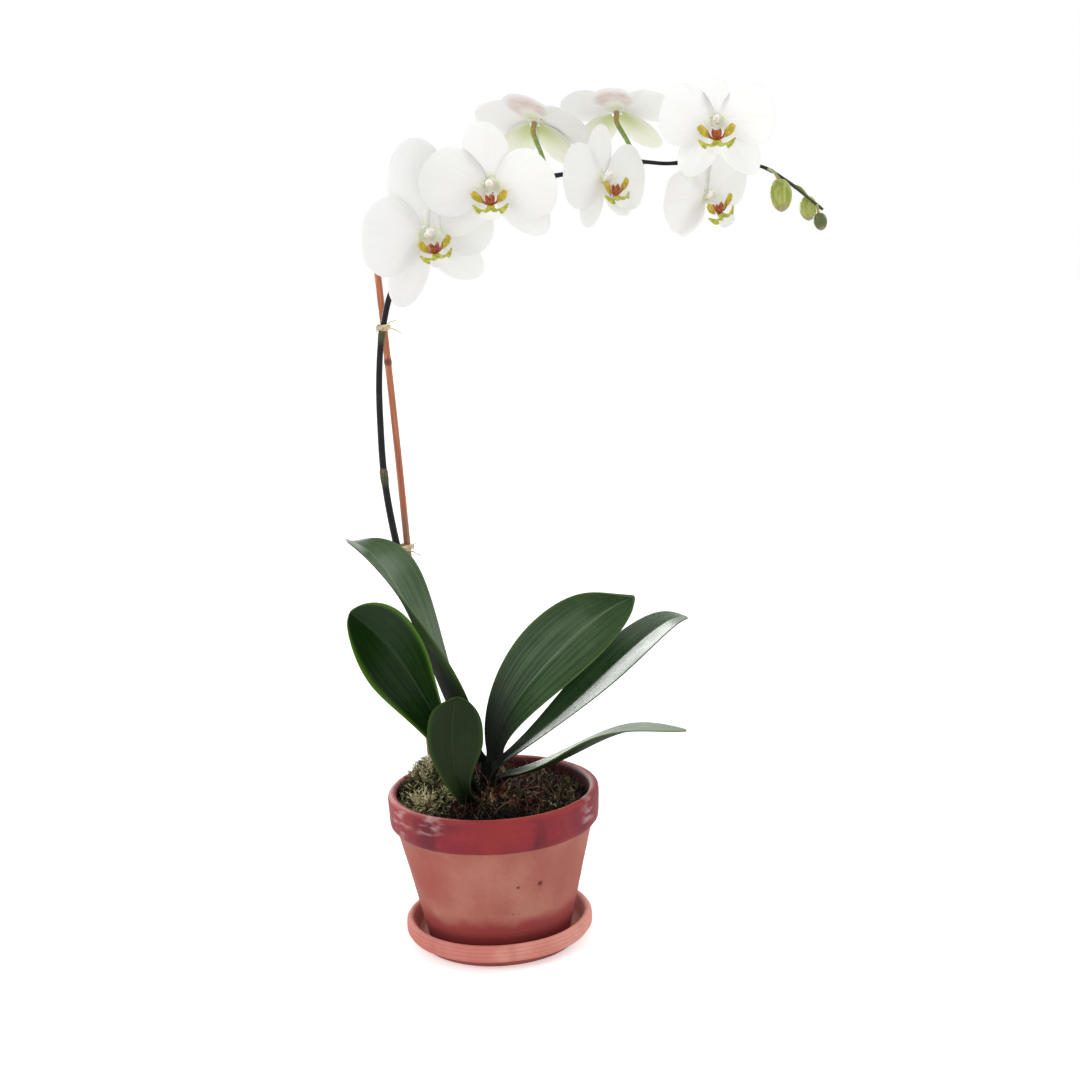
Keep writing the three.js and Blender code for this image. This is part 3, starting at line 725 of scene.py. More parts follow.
LEAVES = {  # spine, heading, roll, half width, fold and taper; how the margin ripples; greens and gloss
    "leaf_upper_left": {
        "spine": (
            (-0.012, 0.008, 0.136), (-0.038, 0.0055, 0.180),
            (-0.051, -0.047, 0.293), (-0.092, -0.003, 0.297),
        ),
        "heading": 223, "roll": (-16, -71), "half": 0.0300, "fold": (37, 18), "taper": 0.8, "wave": 0.0008,
        "greens": (0x2F4A26, 0x5E7850, 0x44602A), "gloss": 0.38,
    },
    "leaf_lower_left": {
        "spine": (
            (-0.017, -0.011, 0.127), (-0.056, -0.0095, 0.204),
            (-0.061, -0.0095, 0.223), (-0.095, -0.0025, 0.246),
        ),
        "heading": 139, "roll": (-78, -40), "half": 0.0295, "fold": (49, 27), "taper": 1.35, "wave": 0.0007,
        "greens": (0x0F2709, 0x264216, 0x5C8622), "gloss": 0.2,
    },
    "leaf_front": {
        "spine": (
            (-0.016, -0.026, 0.112), (-0.031, -0.069, 0.133),
            (-0.028, -0.032, 0.177), (-0.022, -0.043, 0.192),
        ),
        "heading": -230, "roll": (-11, -18), "half": 0.0220, "fold": (33, 10), "taper": 3, "wave": 0.0006,
        "greens": (0x1B2A10, 0x2C3E16, 0x33501A), "gloss": 0.2,
    },
    "leaf_upper_right": {
        "spine": (
            (0.004, 0.003, 0.138), (0.004, 0.001, 0.174),
            (0.082, 0.034, 0.233), (0.104, -0.024, 0.252),
        ),
        "heading": 13, "roll": (45, 68), "half": 0.0310, "fold": (28, 42), "taper": 1.35, "wave": 0.0009,
        "greens": (0x2E4629, 0x627C56, 0x44602A), "gloss": 0.3,
    },
    "leaf_middle_right": {
        "spine": (
            (0.008, 0.001, 0.131), (0.070, 0.008, 0.170),
            (0.120, -0.013, 0.237), (0.143, -0.001, 0.230),
        ),
        "heading": 21, "roll": (19, 3), "half": 0.0200, "fold": (23, 7), "taper": 1.35, "wave": 0.0006,
        "greens": (0x23401F, 0x4C6C40, 0x3C5C22), "gloss": 0.5,
    },
    "leaf_lower_right": {
        "spine": (
            (0.015, -0.005, 0.122), (0.069, -0.002, 0.130),
            (0.084, 0.003, 0.161), (0.141, 0.001, 0.146),
        ),
        "heading": -31, "roll": (7, -10), "half": 0.0220, "fold": (24, -4), "taper": 1.35, "wave": 0.0005,
        "greens": (0x3C5A30, 0x7C9468, 0x567238), "gloss": 0.5,
    },
}
LEAF_WIDEST = 0.58  # share of its length
LEAF_BASE = 0.24  # its width at the base, as a share of its widest
SHEATH = 0.16  # how much longer a leaf is by the base that clasps the crown
CROWN = Vector((-0.004, 0.005, 0.100))


def blade(name, surface, along, across, thickness, thin, skins, flesh=None):
    """A thin blade shaped from a flat sheet: u runs along it and v from -1 to 1 across.

    The flesh says how thick it is at u and v. The skins are one finish, or one for each side.
    """
    bpy.ops.object.select_all(action="DESELECT")
    bpy.ops.mesh.primitive_grid_add(x_subdivisions=along, y_subdivisions=across, size=2, calc_uvs=True)
    piece = bpy.context.object
    piece.name = name
    for skin in skins:
        piece.data.materials.append(skin)
    body = piece.vertex_groups.new(name="flesh")
    for vertex in piece.data.vertices:
        u, v = (vertex.co.x + 1) / 2, vertex.co.y
        body.add([vertex.index], flesh(u, v) if flesh else 1 - abs(v) ** 2.5, "REPLACE")
        vertex.co = surface(u, v)
    apply(
        piece, "SOLIDIFY", thickness=thickness, offset=0, vertex_group="flesh", thickness_vertex_group=thin,
        material_offset=len(skins) - 1, material_offset_rim=0,
    )
    apply(piece, "SUBSURF", levels=1, render_levels=1)
    piece.vertex_groups.clear()
    piece.data.shade_smooth()
    return piece


def bezier(points, share):
    """A place and the way ahead on a curve through four control points."""
    a, b, c, d = (Vector(point) for point in points)
    rest = 1 - share
    spot = a * rest**3 + b * 3 * rest**2 * share + c * 3 * rest * share**2 + d * share**3
    ahead = (b - a) * rest**2 + (c - b) * 2 * rest * share + (d - c) * share**2
    return spot, ahead.normalized()


def leaf_breadth(u, taper):
    if u < LEAF_WIDEST:
        return LEAF_BASE + (1 - LEAF_BASE) * math.sin(math.pi / 2 * max(0, u / LEAF_WIDEST)) ** taper
    past = (u - LEAF_WIDEST) / (1 - LEAF_WIDEST)
    return max(0.002, 1 - past**2.3) ** 0.62


def leaf_surface(spine, heading, roll, half, fold, taper, wave):
    level = Vector((-math.sin(math.radians(heading)), math.cos(math.radians(heading)), 0))
    base, out_of = bezier(spine, 0)
    root = CROWN + Vector((0, 0, max(0, base.z - 0.125)))
    elbow = base - out_of * (base - root).length * 0.5

    def surface(share, v):
        share = share * (1.3 - 0.3 * share)
        u = share * (1 + SHEATH) - SHEATH
        if u < 0:
            back = -u / SHEATH
            spot = base.lerp(elbow, back).lerp(elbow.lerp(root, back), back)
            ahead = ((base - elbow) * (1 - back) + (elbow - root) * back).normalized()
        else:
            back = 0
            spot, ahead = bezier(spine, min(u, 1))
        side = (level - ahead * level.dot(ahead)).normalized()
        up = ahead.cross(side)
        lean = math.radians(roll[0] + (roll[1] - roll[0]) * max(u, 0))
        across = side * math.cos(lean) + up * math.sin(lean)
        above = up * math.cos(lean) - side * math.sin(lean)
        reach = math.sqrt(v * v + 0.0016) - 0.04
        rise = math.radians(fold[0] + (fold[1] - fold[0]) * max(u, 0) + 45 * back)
        rise *= 0.35 + 0.65 * math.sqrt(max(reach, 0))
        width = half * leaf_breadth(min(max(u, 0), 1), taper)
        groove = 0.0009 * math.exp(-((v / 0.07) ** 2)) * (1 - max(u, 0) ** 2)
        ripple = wave * math.sin(9 * u + 2 * v + heading) * v * v
        return (
            spot
            + across * width * v * math.cos(rise)
            + above * (width * reach * math.sin(rise) + ripple - groove)
        )

    return surface


def from_midrib(tree):
    """0 along the middle of a blade, rising to 1 at both margins."""
    return sums(tree, "ABSOLUTE", sums(tree, "MULTIPLY_ADD", sheet_of(tree)["Y"], 2.0, -1.0))


leaf_veins, given, out = effect(
    "leaf_veins",
    {"Blade": paint(0x2A4A22), "Rib": paint(0x587A3C), "Margin": paint(0x6C8C3C), "Contrast": 0.5},
    {"Color": "NodeSocketColor", "Height": "NodeSocketFloat"},
)
middle = from_midrib(leaf_veins)
veins = cloud(leaf_veins, place_of(leaf_veins, (1.2, 62, 1), "UV"), 1.0, 3)
mottle = cloud(leaf_veins, place_of(leaf_veins), 38, 4)
striped = sums(leaf_veins, "MULTIPLY", band(leaf_veins, veins, 0.42, 0.66), given["Contrast"])
green = blend(leaf_veins, striped, given["Blade"], given["Rib"])
green = blend(leaf_veins, band(leaf_veins, mottle, 0.4, 0.75, 0, 0.3), green, given["Rib"])
green = blend(leaf_veins, band(leaf_veins, middle, 0.010, 0.050, 0.8, 0), green, given["Rib"])
green = blend(leaf_veins, band(leaf_veins, middle, 0.80, 0.99, 0, 0.65), green, given["Margin"])
leaf_veins.links.new(green, out["Color"])
pores = cloud(leaf_veins, place_of(leaf_veins), 900, 2)
leaf_veins.links.new(sums(leaf_veins, "MULTIPLY_ADD", pores, 0.03, veins), out["Height"])


def crown_shade(tree):
    """1 in the dim clasp of the leaf bases, fading to 0 up the blades."""
    return near(tree, place_of(tree, (1, 1, 0.45)), (-0.010, 0, 0.050), 0.060)


def leaf_colour(blade_tone, rib, margin, contrast):
    values = {"Blade": paint(blade_tone), "Rib": paint(rib), "Margin": paint(margin), "Contrast": contrast}

    def colour(tree):
        green = node(tree, "ShaderNodeGroup", values, node_tree=leaf_veins).outputs["Color"]
        return blend(tree, sums(tree, "MULTIPLY", crown_shade(tree), 0.94), green, paint(0x050805))

    return colour


def leaf_height(tree):
    return node(tree, "ShaderNodeGroup", node_tree=leaf_veins).outputs["Height"]


def wax_roughness(tree):
    patchy = band(tree, cloud(tree, place_of(tree), 55, 4), 0.3, 0.75, 0.24, 0.34)
    return sums(tree, "MAXIMUM", patchy, sums(tree, "MULTIPLY", crown_shade(tree), 0.9))


leaf_back = finish("leaf_under", leaf_colour(0x1E3016, 0x34461F, 0x46601F, 0.35), 0.65, leaf_height, 0.0002,
                   Specular_IOR_Level=0.15)
for name, shape in LEAVES.items():
    greens, gloss = shape.pop("greens"), shape.pop("gloss")
    if name == "leaf_front":
        look = ("leaf_young", leaf_colour(*greens, 0.2), 0.6, leaf_height, 0.0002)
    else:
        look = (f"{name}_top", leaf_colour(*greens, 0.6), wax_roughness, leaf_height, 0.00014)
    top = finish(*look, Specular_IOR_Level=gloss)
    skins = (top, top if name == "leaf_front" else leaf_back)
    piece = blade(name.replace("leaf", "strap_leaf"), leaf_surface(**shape), 72, 26, 0.0021, 0.4, skins)
    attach(piece, "root")
    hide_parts(name)

# ---------------------------------------------------------------- flower spike
# One spike grows from the crown behind the left leaves, runs up beside the cane and arches over to the right.
# It is nearly black purple, with a paler node and a dry clasping scale at each joint.

SPIKE = (
    (-0.006, 0.011, 0.122), (-0.015, 0.0234, 0.150), (-0.026, 0.0275, 0.178), (-0.037, 0.027, 0.206),
    (-0.047, 0.025, 0.234), (-0.0545, 0.0215, 0.263), (-0.0605, 0.018, 0.293), (-0.0655, 0.014, 0.337),
    (-0.066, 0.012, 0.379), (-0.065, 0.011, 0.407), (-0.062, 0.011, 0.435), (-0.0595, 0.011, 0.446),
    (-0.054, 0.012, 0.465), (-0.046, 0.014, 0.479), (-0.034, 0.016, 0.494), (-0.014, 0.018, 0.513),
    (0.014, 0.018, 0.530), (0.039, 0.018, 0.538), (0.064, 0.018, 0.541), (0.094, 0.018, 0.545),
    (0.119, 0.018, 0.548), (0.141, 0.020, 0.546), (0.163, 0.023, 0.547), (0.184, 0.024, 0.546),
    (0.207, 0.019, 0.541), (0.223, 0.011, 0.530), (0.236, 0.005, 0.518), (0.245, 0.002, 0.510),
)
SPIKE_FOOT, SPIKE_TIP = 0.0029, 0.0009  # radii
SPIKE_STEPS = 420
LOWER_NODES = (0.208, 0.337, 0.437)  # heights of the joints below the flowers
ARCH_HEIGHT = 0.460  # above this the spike only runs to the right


def smooth_path(points, count):
    """Evenly spaced places on a smooth curve through the points."""
    ends = [Vector(point) for point in points]
    ends = [2 * ends[0] - ends[1], *ends, 2 * ends[-1] - ends[-2]]
    fine = []
    for a, b, c, d in zip(ends, ends[1:], ends[2:], ends[3:]):
        first, second, third = ((q - p).length ** 0.5 for p, q in ((a, b), (b, c), (c, d)))
        leave = ((b - a) / first - (c - a) / (first + second)) * second + (c - b)
        arrive = ((d - c) / third - (d - b) / (second + third)) * second + (c - b)
        for t in (eighth / 8 for eighth in range(8)):
            fine.append(
                b * (2 * t**3 - 3 * t**2 + 1) + leave * (t**3 - 2 * t**2 + t)
                + c * (3 * t**2 - 2 * t**3) + arrive * (t**3 - t**2)
            )
    fine.append(ends[-2])
    reached = [0.0]
    for p, q in zip(fine, fine[1:]):
        reached.append(reached[-1] + (q - p).length)
    wanted = np.linspace(0, reached[-1], count + 1)
    return [Vector([np.interp(s, reached, [p[axis] for p in fine]) for axis in range(3)]) for s in wanted]


spike_path = smooth_path(SPIKE, SPIKE_STEPS)


def spike_share(test):
    """The first share of the spike's length, going up, that passes a test."""
    return next(i for i, spot in enumerate(spike_path) if test(spot)) / SPIKE_STEPS


def spike_spot(share):
    return spike_path[int(share * SPIKE_STEPS)]


def spike_radius(share):
    return SPIKE_FOOT + (SPIKE_TIP - SPIKE_FOOT) * share**1.3


def frame_at(path, share):
    """A frame on a path: the way ahead as Z, and the level side as Y."""
    i = min(int(share * (len(path) - 1)), len(path) - 2)
    ahead = (path[i + 1] - path[i]).normalized()
    return Matrix.Translation(path[i]) @ ahead.to_track_quat("Z", "Y").to_matrix().to_4x4()


FLOWERS = (  # middle; look; lean; size; sizes of sepals; tilts; turns of petals and sepals; foot of its stalk
    ((-0.026, -0.008, 0.504), (26, -10), -11, 1.06, (1.14, 0.96), (8, 4, 5), (-78, 78, -144, 134), -0.036),
    ((0.0186, -0.024, 0.535), (-12, -20), 0, 0.97, (0.86, 1), (20, 18, 6), (-78, 86, -131, 134), 0.009),
    ((0.052, 0.035, 0.580), (148, 56), -16, 0.86, (1, 1), (-9, -12, -9), (-84, 78, -145, 145), 0.058),
    ((0.094, -0.015, 0.5355), (43, 0), -6, 0.87, (0.75, 0.8), (4, 8, 2), (-78, 92, -142, 132), 0.084),
    ((0.109, 0.035, 0.585), (163, 63), -6, 0.84, (1, 1), (0, -11, -13), (-78, 78, -138, 140), 0.119),
    ((0.1645, -0.007, 0.5217), (37, -8), -20, 0.84, (0.72, 0.74), (0, 0, -6), (-78, 78, -125, 130), 0.150),
    ((0.1675, -0.038, 0.5695), (-12, -15), 0, 0.81, (0.62, 1.06), (12, 15, 3), (-76, 80, -146, 146), 0.172),
)
BUDS = (  # lower end, upper end, radius, and where its neck leaves the spike
    ((0.2165, 0.000, 0.5095), (0.215, 0.002, 0.532), 0.0080, 0.210),
    ((0.238, 0.014, 0.503), (0.2365, 0.013, 0.520), 0.0064, 0.226),
    ((0.242, -0.008, 0.496), (0.240, -0.006, 0.508), 0.0050, 0.241),
)

joint_shares = [spike_share(lambda spot, z=z: spot.z >= z) for z in LOWER_NODES]
stalk_shares = [
    spike_share(lambda spot, x=x: spot.z > ARCH_HEIGHT and spot.x >= x)
    for x in [flower[-1] for flower in FLOWERS] + [bud[-1] for bud in BUDS]
]


def jointed_radius(share):
    swell = sum(math.exp(-(((share - spot) / 0.006) ** 2)) for spot in joint_shares + stalk_shares)
    return spike_radius(share) * (1 + 0.22 * min(swell, 1))


def spike_colour(tree):
    place = place_of(tree)
    patches = band(tree, cloud(tree, place, 90, 4), 0.4, 0.75)
    colour = blend(tree, patches, paint(0x0C090D), paint(0x1D171E))
    green = 0.0
    for share in joint_shares:
        green = sums(tree, "MAXIMUM", green, near(tree, place, spike_spot(share), 0.009))
    young = band(tree, axes(tree, place)["X"], 0.196, 0.232, 0, 0.6)
    green = sums(tree, "MAXIMUM", sums(tree, "MULTIPLY", green, 0.6), young)
    return blend(tree, green, colour, paint(0x55603A))


def skin_height(tree):
    return cloud(tree, place_of(tree), 520, 3)


girths = [jointed_radius(i / SPIKE_STEPS) for i in range(SPIKE_STEPS + 1)]
spike = tube("spike_stem", [list(zip(spike_path, girths))], 16)
spike.data.materials.append(
    finish("dark_stem", spike_colour, 0.5, skin_height, 0.0003, Specular_IOR_Level=0.3)
)
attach(spike, "root")
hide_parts("flower_spike")


def scale_surface(u, v):
    """A clasping scale, a unit long on a stem of unit radius, that tapers to a free point."""
    wrap = math.radians(125) * v * (1 - u**1.6) ** 0.7
    out_by = 1.12 + 0.35 * u * u
    return Vector((out_by * math.cos(wrap), out_by * math.sin(wrap), u * 3.4 - 0.3))


def scale_colour(tree):
    ribs = band(tree, cloud(tree, place_of(tree, (900, 900, 60)), 1.0, 3), 0.4, 0.7)
    return blend(tree, ribs, paint(0x4A3B2C), paint(0x7B6A48))


dry_scale = finish("dry_scale", scale_colour, 0.7, skin_height, 0.0003)
scale = blade("scale_model", scale_surface, 8, 10, 0.12, 0.4, [dry_scale])
places = []
for number, share in enumerate(joint_shares + stalk_shares):
    turned = Matrix.Rotation(math.radians(140 + 170 * number), 4, "Z")
    size = Matrix.Scale(spike_radius(share), 4)
    places.append((0, frame_at(spike_path, share) @ turned @ size, 0.5))
scales = strewn("stem_scales", [scale], places)
discard([scale])
scales.data.materials.append(dry_scale)
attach(scales, "root")


def clouded(scale, first, second):
    """A colour function: two colours in soft clouds."""
    return lambda tree: blend(tree, cloud(tree, place_of(tree), scale), paint(first), paint(second))


# the crown: a short fleshy stem that the leaves clasp, painted near-black as the shade in the clasp of the
# leaf bases
crown_rings = [(Vector((-0.004, 0.005, 0.096 + 0.0034 * i)), 0.0085 - 0.0004 * i) for i in range(11)]
crown = tube("crown_stem", [crown_rings], 16)
crown.data.materials.append(
    finish("crown_in_shade", clouded(120, 0x080B07, 0x10150B), 0.6, skin_height, 0.0004, Specular_IOR_Level=0.1)
)
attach(crown, "root")

# ---------------------------------------------------------------- flower stalks and columns
# A smooth stalk carries each flower from its joint on the spike: green below and ochre close to the flower.
# There it widens to a pale seat for the tepals, and in front stands the column, a white hooded finger with
# a faintly rosy anther cap.

STALK = 0.0015  # radius


def flower_frame(middle, look, lean):
    """A flower's own frame: x to a viewer's right, y towards the dorsal sepal and z the way it looks."""
    azimuth, elevation = look
    return (
        Matrix.Translation(middle)
        @ Matrix.Rotation(math.radians(azimuth), 4, "Z")
        @ Matrix.Rotation(math.radians(90 - elevation), 4, "X")
        @ Matrix.Rotation(math.radians(-lean), 4, "Z")
    )


def stalk_colour(tree):
    along = sheet_of(tree)["X"]
    colour = blend(tree, band(tree, along, 0.0, 0.12), paint(0x2B3420), paint(0x74913A))
    colour = blend(tree, band(tree, along, 0.60, 0.88), colour, paint(0xA98E4C))
    flecks = band(tree, cloud(tree, place_of(tree), 400), 0.4, 0.75, 0, 0.3)
    return blend(tree, flecks, colour, paint(0xC2C084))


def column_colour(tree):
    along = sheet_of(tree)["X"]
    return blend(tree, band(tree, along, 0.1, 0.55, 0.8, 0), paint(0xF6F4EE), paint(0xD5DFA8))


stalk_skin = finish("stalk_skin", stalk_colour, 0.4, skin_height, 0.0002)
column_white = finish("column_white", column_colour, 0.35, Subsurface_Weight=0.3, Subsurface_Scale=0.002)
anther_rose = finish("anther_rose", clouded(900, 0xF2E6E3, 0xE0BEBD), 0.35)
seat_pale = finish("seat_green", clouded(300, 0xEFF0E4, 0xE2E7CC), 0.5)

spine = [Vector((0, 0.0042 * (i / 9) ** 1.3, -0.0012 + 0.0010 * i)) for i in range(10)]
girths = (0.0020, 0.0025, 0.0027, 0.0026, 0.0025, 0.0025, 0.0027, 0.0029, 0.0028, 0.0023)
column_model = tube("column_model", [list(zip(spine, girths))], 16)
for vertex in column_model.data.vertices:
    if vertex.co.z > 0.0035 and vertex.co.y < 0.0008:
        vertex.co.y += 0.0012 * min(1, (vertex.co.z - 0.0035) / 0.003)
bpy.ops.object.select_all(action="DESELECT")
bpy.ops.mesh.primitive_uv_sphere_add(segments=20, ring_count=12, radius=0.0013, location=(0, 0.0042, 0.0084))
anther = bpy.context.object
bpy.ops.object.transform_apply(location=True)
for vertex in anther.data.vertices:
    vertex.co.y -= 0.0005 * math.exp(-((vertex.co.x / 0.0004) ** 2))
    vertex.co.y *= 0.85
anther.data.shade_smooth()
seat = ball(28, 14)
for vertex in seat.data.vertices:
    turn = math.atan2(vertex.co.y, vertex.co.x)
    out_by = math.hypot(vertex.co.x, vertex.co.y) * (0.0058 + 0.0004 * math.cos(5 * turn))
    vertex.co = (out_by * math.cos(turn), out_by * math.sin(turn), 0.0012 * vertex.co.z - 0.0014)
seat.data.shade_smooth()
for part, skin in ((column_model, column_white), (anther, anther_rose), (seat, seat_pale)):
    part.data.materials.append(skin)
alone(column_model)
anther.select_set(True)
seat.select_set(True)
bpy.ops.object.join()


def copied(model, name, matrix):
    """A copy of a model with a mesh of its own, put in its place."""
    piece = model.copy()
    piece.data = model.data.copy()
    piece.name = name
    piece.data.transform(matrix)
    scene.collection.objects.link(piece)
    return piece


for number, (middle, look, lean, size, *rest) in enumerate(FLOWERS, 1):
    own = flower_frame(middle, look, lean)
    root = spike_spot(stalk_shares[number - 1])
    behind = own @ Vector((0, -0.003, -0.015 if look[0] < 90 else -0.008))
    bend = root.lerp(behind, 0.5) + Vector((0, 0.001, 0.001))
    neck, seat_spot = own @ Vector((0, -0.0008, -0.005)), own @ Vector((0, 0, 0.0005))
    path = smooth_path((root, bend, behind, neck, seat_spot), 40)
    girth = [STALK * (1 + 0.45 * math.exp(-((i / 4) ** 2)) + 0.3 * (i / 40) ** 2) for i in range(41)]
    stalk = tube(f"stalk_{number}", [list(zip(path, girth))], 12)
    stalk.data.materials.append(stalk_skin)
    column = copied(column_model, f"column_{number}", own @ Matrix.Scale(size, 4))
    for piece in (stalk, column):
        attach(piece, "root")
discard([column_model])

# ---------------------------------------------------------------- tepals
# Each flower has two broad petals in front of three sepals, all thin, white and faintly ribbed like a fan.
# They blush green towards the claw, and the backs of the sepals are yellow-green with a brown-rose flush.

PETAL = {"length": 0.044, "width": 0.053, "recurve": 0.04, "cup": 0.06}
SEPAL = {"length": 0.047, "width": 0.028, "recurve": 0.03, "cup": 0.05}
DORSAL = {"length": 0.051, "width": 0.037, "recurve": 0.04, "cup": 0.05}
CLAW_RADIUS = 0.0034  # how far from the flower's middle a tepal starts
CLAW_HALF = 0.0026  # half its width there
SPREAD = 78  # degrees that its fan opens to each side


def tepal_surface(length, width, recurve, cup, tilt, layer, mood):
    """A fan from its claw: an ellipse in polar form, drawn in at the shoulders, with a soft uneven margin."""
    a, b = length / 2, width / 2

    def surface(u, v):
        angle = math.radians(SPREAD) * v
        c, s = math.cos(angle), math.sin(angle)
        edge = 2 * a * b * b * c / (b * b * c * c + a * a * s * s) * (1 - 0.4 * abs(s) ** 7)
        edge *= 1 + 0.012 * math.sin(7 * v + mood) + 0.007 * math.sin(15 * v + 2 * mood)
        reach = 0.05 + 0.95 * u
        along, across = edge * reach * c, edge * reach * s + CLAW_HALF * v * (1 - reach)
        far, wide = along / length, across / b
        forward = layer + along * math.tan(math.radians(tilt))
        forward -= recurve * length * far * far + cup * length * wide * wide * far
        forward += 0.0006 * reach**3 * math.sin(5.5 * v + mood) + 0.0003 * reach**2 * math.sin(13 * v - mood)
        forward -= 0.0004 * math.exp(-((v / 0.05) ** 2)) * (1 - 0.6 * u)
        return Vector((across, along + CLAW_RADIUS, forward))

    return surface


petal_veins, given, out = effect(
    "petal_veins",
    {"White": paint(0xF6F6F3), "Claw": paint(0xDDE6B8), "Vein": paint(0xE6E8DE), "Reach": 0.3},
    {"Color": "NodeSocketColor", "Height": "NodeSocketFloat"},
)
fans = cloud(petal_veins, place_of(petal_veins, (0.8, 26, 1), "UV"), 1.0, 2)
colour = blend(petal_veins, band(petal_veins, fans, 0.4, 0.75, 0, 0.5), given["White"], given["Vein"])
fade = sums(petal_veins, "DIVIDE", sheet_of(petal_veins)["X"], given["Reach"])
colour = blend(petal_veins, band(petal_veins, fade, 0.0, 1.0, 0.85, 0), colour, given["Claw"])
petal_veins.links.new(colour, out["Color"])
petal_veins.links.new(fans, out["Height"])


def petal_colour(white, claw, vein, reach, flush=None):
    """A colour function: white over a green claw, and a flush given as its tint and the shares it spans."""
    values = {"White": paint(white), "Claw": paint(claw), "Vein": paint(vein), "Reach": reach}

    def colour(tree):
        made = node(tree, "ShaderNodeGroup", values, node_tree=petal_veins).outputs["Color"]
        if flush:
            tint, start, end = flush
            away = sums(tree, "ABSOLUTE", sums(tree, "SUBTRACT", sheet_of(tree)["X"], (start + end) / 2))
            along = band(tree, away, (end - start) * 0.1, (end - start) / 2, 1, 0)
            share = sums(tree, "MULTIPLY", along, band(tree, from_midrib(tree), 0.2, 0.9, 1, 0))
            patchy = band(tree, cloud(tree, place_of(tree), 120, 3), 0.3, 0.7, 0.6, 1)
            made = blend(tree, sums(tree, "MULTIPLY", share, patchy), made, paint(tint))
        return made

    return colour


def petal_height(tree):
    return node(tree, "ShaderNodeGroup", node_tree=petal_veins).outputs["Height"]


thin = {
    "Subsurface_Weight": 0.5,
    "Subsurface_Radius": (1, 1, 1),
    "Subsurface_Scale": 0.004,
    "Specular_IOR_Level": 0.2,
}
petal_front, sepal_back, dorsal_back = (
    finish(name, petal_colour(*looks), 0.6, petal_height, 0.00006, **thin)
    for name, looks in (
        ("petal_front", (0xF3F3F0, 0xE6ECCB, 0xEDEDE8, 0.16)),
        ("sepal_back", (0xE9ECD4, 0xBBC97C, 0xDCE3B4, 0.75)),
        ("dorsal_back", (0xEFECE8, 0xD0D8A0, 0xE8E2DC, 0.40, (0xCDB4AE, 0.20, 1.0))),
    )
)

for number, (middle, look, lean, size, (crown_share, side_share), tilts, turns, _) in enumerate(FLOWERS, 1):
    own = flower_frame(middle, look, lean) @ Matrix.Scale(size, 4)
    dorsal, sepal = (
        {**shape, "length": shape["length"] * share, "width": shape["width"] * share}
        for shape, share in ((DORSAL, crown_share), (SEPAL, side_share))
    )
    tepals = {
        "dorsal_sepal": (dorsal, 0, tilts[1], -0.0020, dorsal_back),
        "left_sepal": (sepal, turns[2], tilts[2], -0.0020, sepal_back),
        "right_sepal": (sepal, turns[3], tilts[2], -0.0034, sepal_back),
        "left_petal": (PETAL, turns[0], tilts[0], 0.0006, petal_front),
        "right_petal": (PETAL, turns[1], tilts[0], 0.0006, petal_front),
    }
    for kind, (shape, turn, tilt, layer, back) in tepals.items():
        mood = number * 1.7 + turn
        surface = tepal_surface(**shape, tilt=tilt, layer=layer, mood=mood)
        piece = blade(
            f"bloom_{number}_{kind}", surface, 16, 30, 0.0008, 0.3, (back, petal_front),
            lambda u, v: (1 - u**3) * (1 - 0.7 * abs(v) ** 3),
        )
        piece.data.transform(own @ Matrix.Rotation(math.radians(-turn), 4, "Z"))
        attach(piece, "root")
        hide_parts(f"flower_{number}_{kind}")

# ---------------------------------------------------------------- lips
# The lip hangs below the column: a striped neck with a white scalloped front, two pointed yellow-green flukes
# beside it, two ochre side lobes that stand up, and a two-pointed orange-red callus between them.

LIP_ROOT = Vector((0, -0.0056, 0.0024))
NECK = ((0, 0, 0), (0, -0.0030, 0.0040), (0, -0.0062, 0.0078), (0, -0.0094, 0.0106), (0, -0.0136, 0.0124))
NECK_HALVES = (0.0016, 0.0018, 0.0020, 0.0022, 0.0024, 0.0032, 0.0064, 0.0074, 0.0068, 0.0026)
FLUKE = (
    (0.0000, -0.0068, 0.0096), (0.0040, -0.0084, 0.0106), (0.0076, -0.0080, 0.0100),
    (0.0122, -0.0040, 0.0080),
)
FLUKE_HALVES = (0.0012, 0.0017, 0.0019, 0.0021, 0.0017, 0.0011, 0.0003)
WING = (
    (0.0014, -0.0050, 0.0034), (0.0040, -0.0036, 0.0056), (0.0078, 0.0002, 0.0074),
    (0.0112, 0.0050, 0.0084),
)
WING_HALVES = (0.0007, 0.0007, 0.0009, 0.0017, 0.0024, 0.0026, 0.0024, 0.0015)
RIDGE = (
    (0.0004, -0.0056, 0.0060), (0.0009, -0.0036, 0.0068), (0.0016, -0.0010, 0.0074), (0.0026, 0.0024, 0.0076),
)
RIDGE_GIRTHS = (  # shares of its length, and the radius at each
    (0, 0.3, 0.6, 0.8, 1), (0.0012, 0.0016, 0.0018, 0.0013, 0.0003),
)
WHISKER = (
    (0.0010, -0.0048, 0.0060), (0.0036, -0.0034, 0.0084), (0.0052, -0.0006, 0.0092), (0.0056, 0.0022, 0.0086),
)


def lip_path(route, hand, count):
    """A smooth path from the lip's root, on the right for hand 1 and mirrored to the left for -1."""
    return smooth_path([LIP_ROOT + Vector((hand * x, y, z)) for x, y, z in route], count)


def lobe(name, route, halves, hand, cupped, skin):
    """A thin lobe of the lip that follows its route, with half its width at even steps along it."""
    path = lip_path(route, hand, 40)

    def surface(u, v):
        i = min(int(u * 40), 39)
        spot, ahead = path[i].lerp(path[i + 1], u * 40 - i), (path[i + 1] - path[i]).normalized()
        out_of = Vector((1, 0, 0)) if hand == 0 else Vector((-ahead.y, ahead.x, 0)).normalized()
        half = np.interp(u, np.linspace(0, 1, len(halves)), halves)
        frill = 0.0004 * math.cos(9 * v) * max(0, u - 0.6)
        return spot + out_of * half * v + Vector((0, frill, cupped * half * v * v))

    return blade(name, surface, 24, 12, 0.0010, 0.4, [skin])


